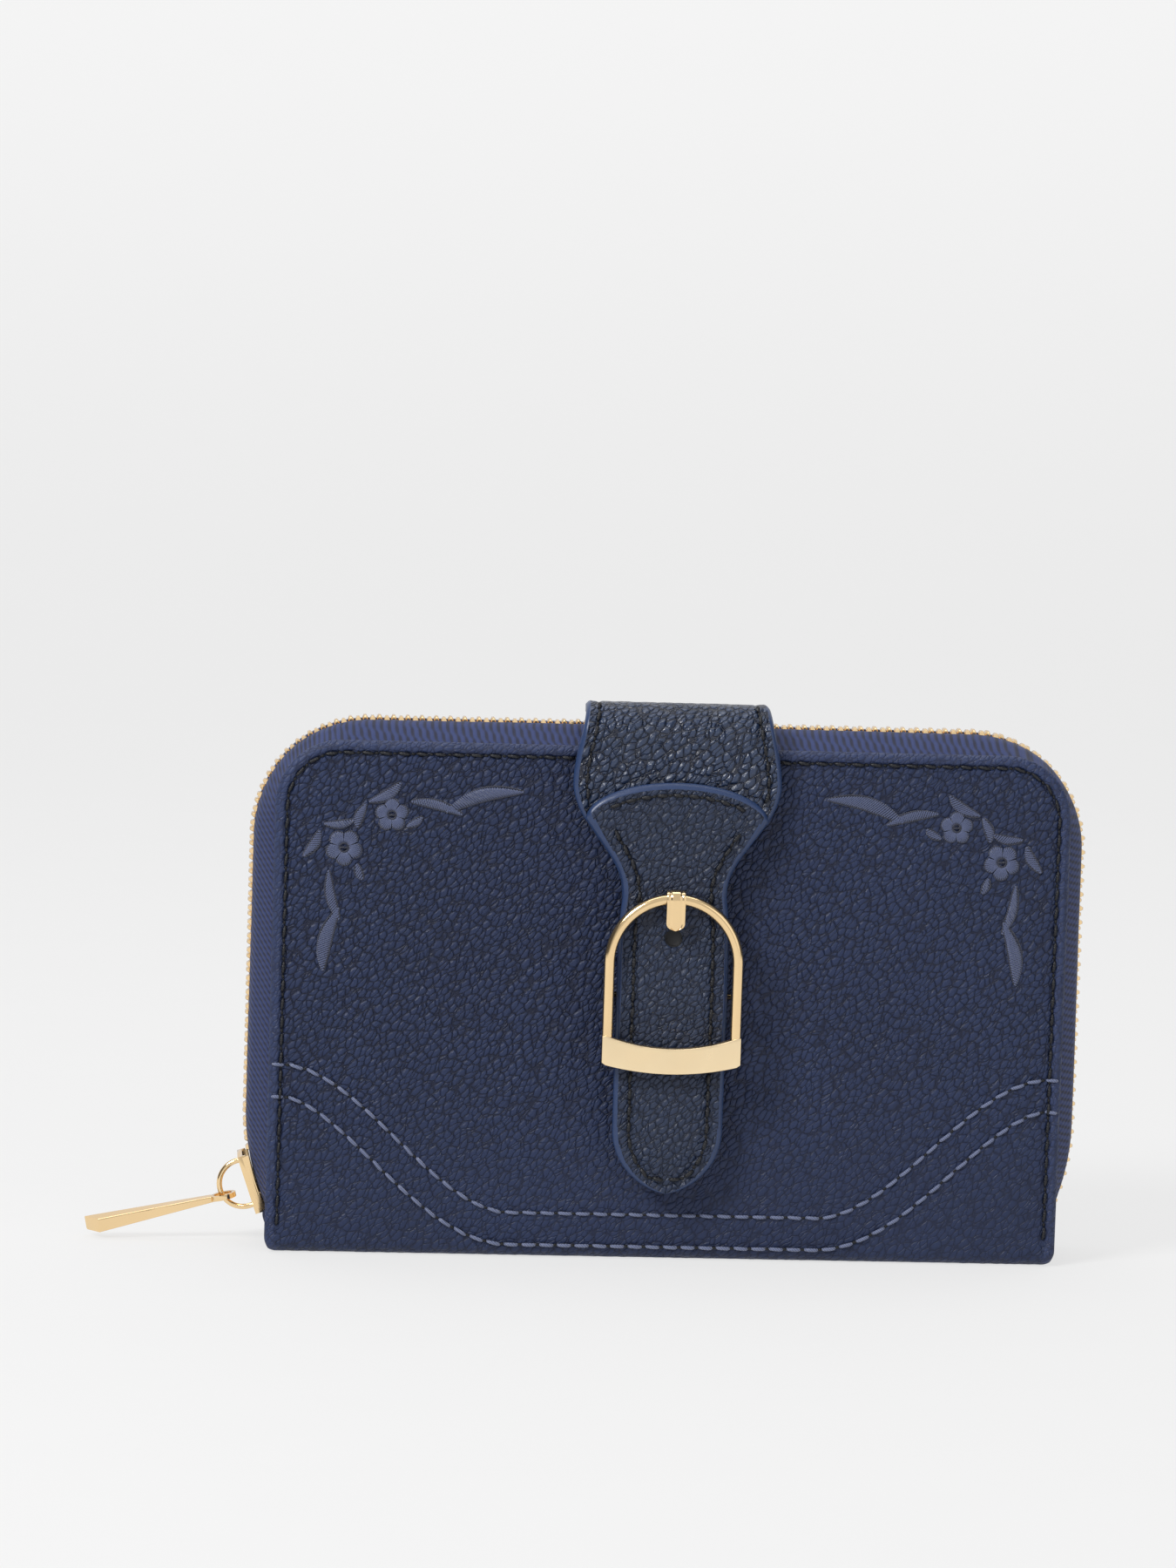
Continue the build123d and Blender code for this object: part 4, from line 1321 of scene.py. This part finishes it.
def seam_line(y, low, high):
    """Stitch line up one side of a panel, along its top and down the other side."""
    side, foot, top = high[0] - SEAM_INSET, low[2] + SEAM_FOOT, high[2] - SEAM_INSET
    return [Vector((x, y, z)) for x, z in ((-side, foot), (-side, top), (side, top), (side, foot))]


def panel(name, node, body, material, edge_material, corner, card_slot=True):
    """A soft flat panel in the room of its CAD node. A card slot has seams round it and down its middle."""
    low, high = box_mm(node)
    facing = 1 if high[1] <= 0 else -1
    inner_y = high[1] if facing > 0 else low[1]
    half, bottom, top = high[0], low[2], high[2]
    thickness = high[1] - low[1]
    rows = flat_rows(inner_y - facing * 0.05, facing, low, high, corner, 56)

    def relief(x, y, z, side_distance):
        near = min(side_distance, top - z, z - bottom)
        edge = -0.5 * thickness * (1 - min(near / 0.6, 1)) ** 2
        seams = -0.10 * bell(near, SEAM_INSET, 0.4) - 0.16 * bell(x, 0, 0.5) if card_slot else 0.0
        swell = 0.03 * noise.noise(Vector((x * 0.05, z * 0.06, half)))
        return min(edge + seams + swell, 0.0)

    made = strip(name, rows, 90, thickness * 0.9, relief, [material, material, edge_material])
    place(made, body, [node])
    if card_slot:
        divider = [Vector((0, inner_y, top - SEAM_FOOT)), Vector((0, inner_y, bottom + SEAM_FOOT))]
        lines = [seam_line(inner_y, low, high), divider]
        place(sewing(f"{name}_stitches", lines, away(facing), *PANEL_SEWING), body)


panel("front_lining_cloth", "front_lining", "front_cover", "lining", "lining", 8.0, False)


def back_lining_cloth():
    """Lining of the back cover and the spine in one L shaped sheet."""
    low, high = box_mm("back_lining")
    half, corner, turn, skin = high[0], 8.0, 3.0, 0.6
    rows = []
    wall_y, floor_z = high[1] - skin, low[2] + skin
    for index in range(51):
        z = high[2] - (high[2] - floor_z - turn) * index / 50
        over = max(z - (high[2] - corner), 0.0)
        wide = half - corner + math.sqrt(max(corner * corner - over * over, 0))
        rows.append((wall_y, z, -1.0, 0.0, wide, 0.0))
    for index in range(1, 9):
        angle = math.pi / 2 * index / 8
        ny, nz = -math.cos(angle), math.sin(angle)
        rows.append((wall_y - turn * (1 + ny), floor_z + turn * (1 - nz), ny, nz, half, 0.0))
    for index in range(1, 21):
        rows.append((wall_y - turn - (wall_y - turn - low[1]) * index / 20, floor_z, 0.0, 1.0, half, 0.0))

    def relief(x, y, z, side_distance):
        slack = 0.08 * noise.noise(Vector((x, y, z)) * 0.05)
        return slack - 0.15 * (1 - min(side_distance / 0.8, 1)) ** 2

    return strip("back_lining_cloth", rows, 70, 0.5, relief, ["lining", "lining", "lining"])


place(back_lining_cloth(), "root", ["back_lining"])

for cover, body in (("front", "front_cover"), ("back", "root")):
    for level in ("upper", "middle", "lower"):
        node = f"{cover}_{level}_card_slot"
        panel(f"{cover}_{level}_slot", node, body, "inner", "edge", 1.5)


def pocket_wall(side, facing):
    """One wall of the coin pocket with its seam, and the zip tape along its top."""
    low, high = box_mm(f"coin_pocket_{side}")
    outer = low[1] if facing < 0 else high[1]

    def relief(x, y, z, side_distance):
        near = min(side_distance, high[2] - z, z - low[2])
        return -0.3 * (1 - min(near / 0.7, 1)) ** 2 - 0.1 * bell(near, SEAM_INSET, 0.4)

    rows = flat_rows(outer, facing, low, high, 2.0, 60)
    wall = strip(f"coin_pocket_{side}_wall", rows, 90, 0.75, relief, ["inner", "lining", "edge"])
    place(wall, "coin_pocket", [f"coin_pocket_{side}"])
    line = seam_line(outer, low, high)
    seams = sewing(f"coin_pocket_{side}_stitches", [line], away(facing), *PANEL_SEWING)
    place(seams, "coin_pocket")
    bevelled_copy(f"coin_zip_tape_{side}", f"coin_tape_{side}", "tape", "coin_pocket", 0.1)


pocket_wall("front", -1)
pocket_wall("back", 1)
for node, name, body in (
    ("coin_zip_teeth", "coin_teeth", "coin_pocket"),
    ("coin_zip_slider", "coin_slider_body", "coin_slider"),
    ("coin_zip_puller", "coin_puller_bar", "coin_puller"),
):
    bevelled_copy(node, name, "gold", body, 0.15)

GUSSET_BEND = ("root", "front_cover", (0, 9.0, 0), (0, -9.0, 0))
# how far out each fold of a gusset lies, and its place between the covers
GUSSET_FOLDS = (
    (60.0, 9.9), (64.5, 7.4), (68.0, 4.9), (64.5, 2.4), (59.4, 0.0),
    (64.5, -2.4), (68.0, -4.9), (64.5, -7.4), (60.0, -9.9),
)


def gusset(name, node, sign):
    """Fan folded side wall with soft folds, open at the top."""
    low, high = box_mm(node)
    path = []
    for index in range(65):
        t = index / 64 * (len(GUSSET_FOLDS) - 1)
        first = min(int(t), len(GUSSET_FOLDS) - 2)
        a, b = Vector(GUSSET_FOLDS[first]), Vector(GUSSET_FOLDS[first + 1])
        path.append(a.lerp(b, t - first))
    bends = [(before + here * 2 + after) / 4 for before, here, after in zip(path, path[1:], path[2:])]
    soft = [path[0]] + bends + [path[-1]]
    points = []
    tall = 30
    for layer in (-0.2, 0.2):
        for index, (x, y) in enumerate(soft):
            before, after = soft[max(index - 1, 0)], soft[min(index + 1, len(soft) - 1)]
            along = (after - before).normalized()
            for row in range(tall + 1):
                t = row / tall
                z = low[2] + (high[2] - 3.0 * (1 - abs(y) / 10) - low[2]) * t
                points.append((sign * (x - along.y * layer), y + along.x * layer, z))
    faces = sheet_faces(len(soft), tall + 1)
    made = tidy_mesh(make_object(name, points, faces, ["inner"]))
    bend(made, *GUSSET_BEND, "inner_leather", [node])


gusset("left_gusset_fold", "left_gusset", -1)
gusset("right_gusset_fold", "right_gusset", 1)

# --- Stage, light and camera -------------------------------------------------------------------


FLOOR_GLOW, FLOOR_TONE, WALL_GLOW = 0.665, 0.165, 0.762


def stage():
    """A pale floor that curves up into a backdrop."""
    points = []
    profile = [(-1800, 0), (700, 0)]
    for index in range(1, 13):
        angle = math.pi / 2 * index / 12
        profile.append((700 + 500 * math.sin(angle), 500 - 500 * math.cos(angle)))
    profile.append((1200, 2600))
    for x in (-3000, 3000):
        points += [(x, y, z) for y, z in profile]
    count = len(profile)
    faces = [(i, i + 1, i + 1 + count, i + count) for i in range(count - 1)]
    shade = Shader("pale_floor")
    grain = shade.noise(shade.coords, 40, 2)
    pale = (FLOOR_TONE, FLOOR_TONE, FLOOR_TONE, 1)
    height = shade.node("ShaderNodeSeparateXYZ", {"Vector": shade.coords}).outputs[2]
    M["floor"] = shade.finish(
        Base_Color=shade.blend(shade.span(grain, 0.3, 0.7), pale, dimmed(pale, 1.01)), Roughness=0.9,
        Specular_IOR_Level=0.1, Emission_Color=(1, 1, 1, 1),
        Emission_Strength=shade.span(height, 0.0, 0.3, FLOOR_GLOW, WALL_GLOW),
    )
    make_object("pale_floor", points, faces, ["floor"])


stage()


def area_light(name, place_mm, size, power):
    """A white panel light that looks at the middle of the wallet."""
    data = bpy.data.lights.new(name, "AREA")
    data.shape = "RECTANGLE"
    data.size, data.size_y = size
    data.energy = power
    lamp = bpy.data.objects.new(name, data)
    bpy.context.scene.collection.objects.link(lamp)
    lamp.location = Vector(place_mm) * MM
    aim = Vector((0, 0, 45)) - Vector(place_mm)
    lamp.rotation_euler = aim.to_track_quat("-Z", "Y").to_euler()


area_light("key", (-650, -620, 800), (0.34, 0.34), 9.5)
area_light("fill", (800, -700, 420), (0.8, 0.8), 1.6)
area_light("top", (0, 150, 1100), (1.0, 0.6), 4.0)

SKY_FRONT, SKY_SIDE, SKY_SEEN = 0.62, 0.08, 0.87


def studio_sky():
    """White surroundings, dimmer at both sides so that metal shows dark flanks."""
    world = bpy.data.worlds.new("studio")
    bpy.context.scene.world = world
    world.use_nodes = True
    sky = world.node_tree.nodes
    link = world.node_tree.links.new
    heading = sky.new("ShaderNodeSeparateXYZ")
    link(sky.new("ShaderNodeTexCoord").outputs["Generated"], heading.inputs[0])
    sideways = sky.new("ShaderNodeMath")
    sideways.operation = "ABSOLUTE"
    link(heading.outputs[0], sideways.inputs[0])
    fall = sky.new("ShaderNodeMapRange")
    fall.interpolation_type = "SMOOTHSTEP"
    link(sideways.outputs[0], fall.inputs[0])
    for socket, value in ((1, 0.3), (2, 0.85), (3, SKY_FRONT), (4, SKY_SIDE)):
        fall.inputs[socket].default_value = value
    seen = sky.new("ShaderNodeMix")
    link(sky.new("ShaderNodeLightPath").outputs["Is Camera Ray"], seen.inputs[0])
    link(fall.outputs[0], seen.inputs[2])
    seen.inputs[3].default_value = SKY_SEEN
    sky["Background"].inputs[0].default_value = (1, 1, 1, 1)
    link(seen.outputs[0], sky["Background"].inputs[1])


studio_sky()

# the view's height at the wallet, and how far the wallet stands right of and below its middle
AZIMUTH, ELEVATION, ROLL = math.radians(-4), math.radians(6), math.radians(1.8)
DISTANCE, VIEW_TALL = 1100.0, 285.26
SHIFT_RIGHT, SHIFT_DOWN = 14.9, 35.5
AIM_POINT = Vector((0, -FACE_Y, 51.8))


def photo_camera():
    """Camera at the photograph's viewing angle."""
    data = bpy.data.cameras.new("photo_camera")
    camera = bpy.data.objects.new("photo_camera", data)
    bpy.context.scene.collection.objects.link(camera)
    bpy.context.scene.camera = camera
    data.sensor_width = 36.0
    data.lens = data.sensor_width * DISTANCE / VIEW_TALL
    data.clip_start, data.clip_end = 0.05, 20.0
    level = math.cos(ELEVATION)
    back = Vector((math.sin(AZIMUTH) * level, -math.cos(AZIMUTH) * level, math.sin(ELEVATION)))
    turn = (-back).to_track_quat("-Z", "Y").to_matrix().to_4x4() @ Matrix.Rotation(ROLL, 4, "Z")
    right, up = turn.col[0].to_3d(), turn.col[1].to_3d()
    spot = AIM_POINT + back * DISTANCE - right * SHIFT_RIGHT + up * SHIFT_DOWN
    camera.matrix_world = Matrix.Translation(spot * MM) @ turn


photo_camera()
bpy.context.scene.view_settings.view_transform = "Standard"
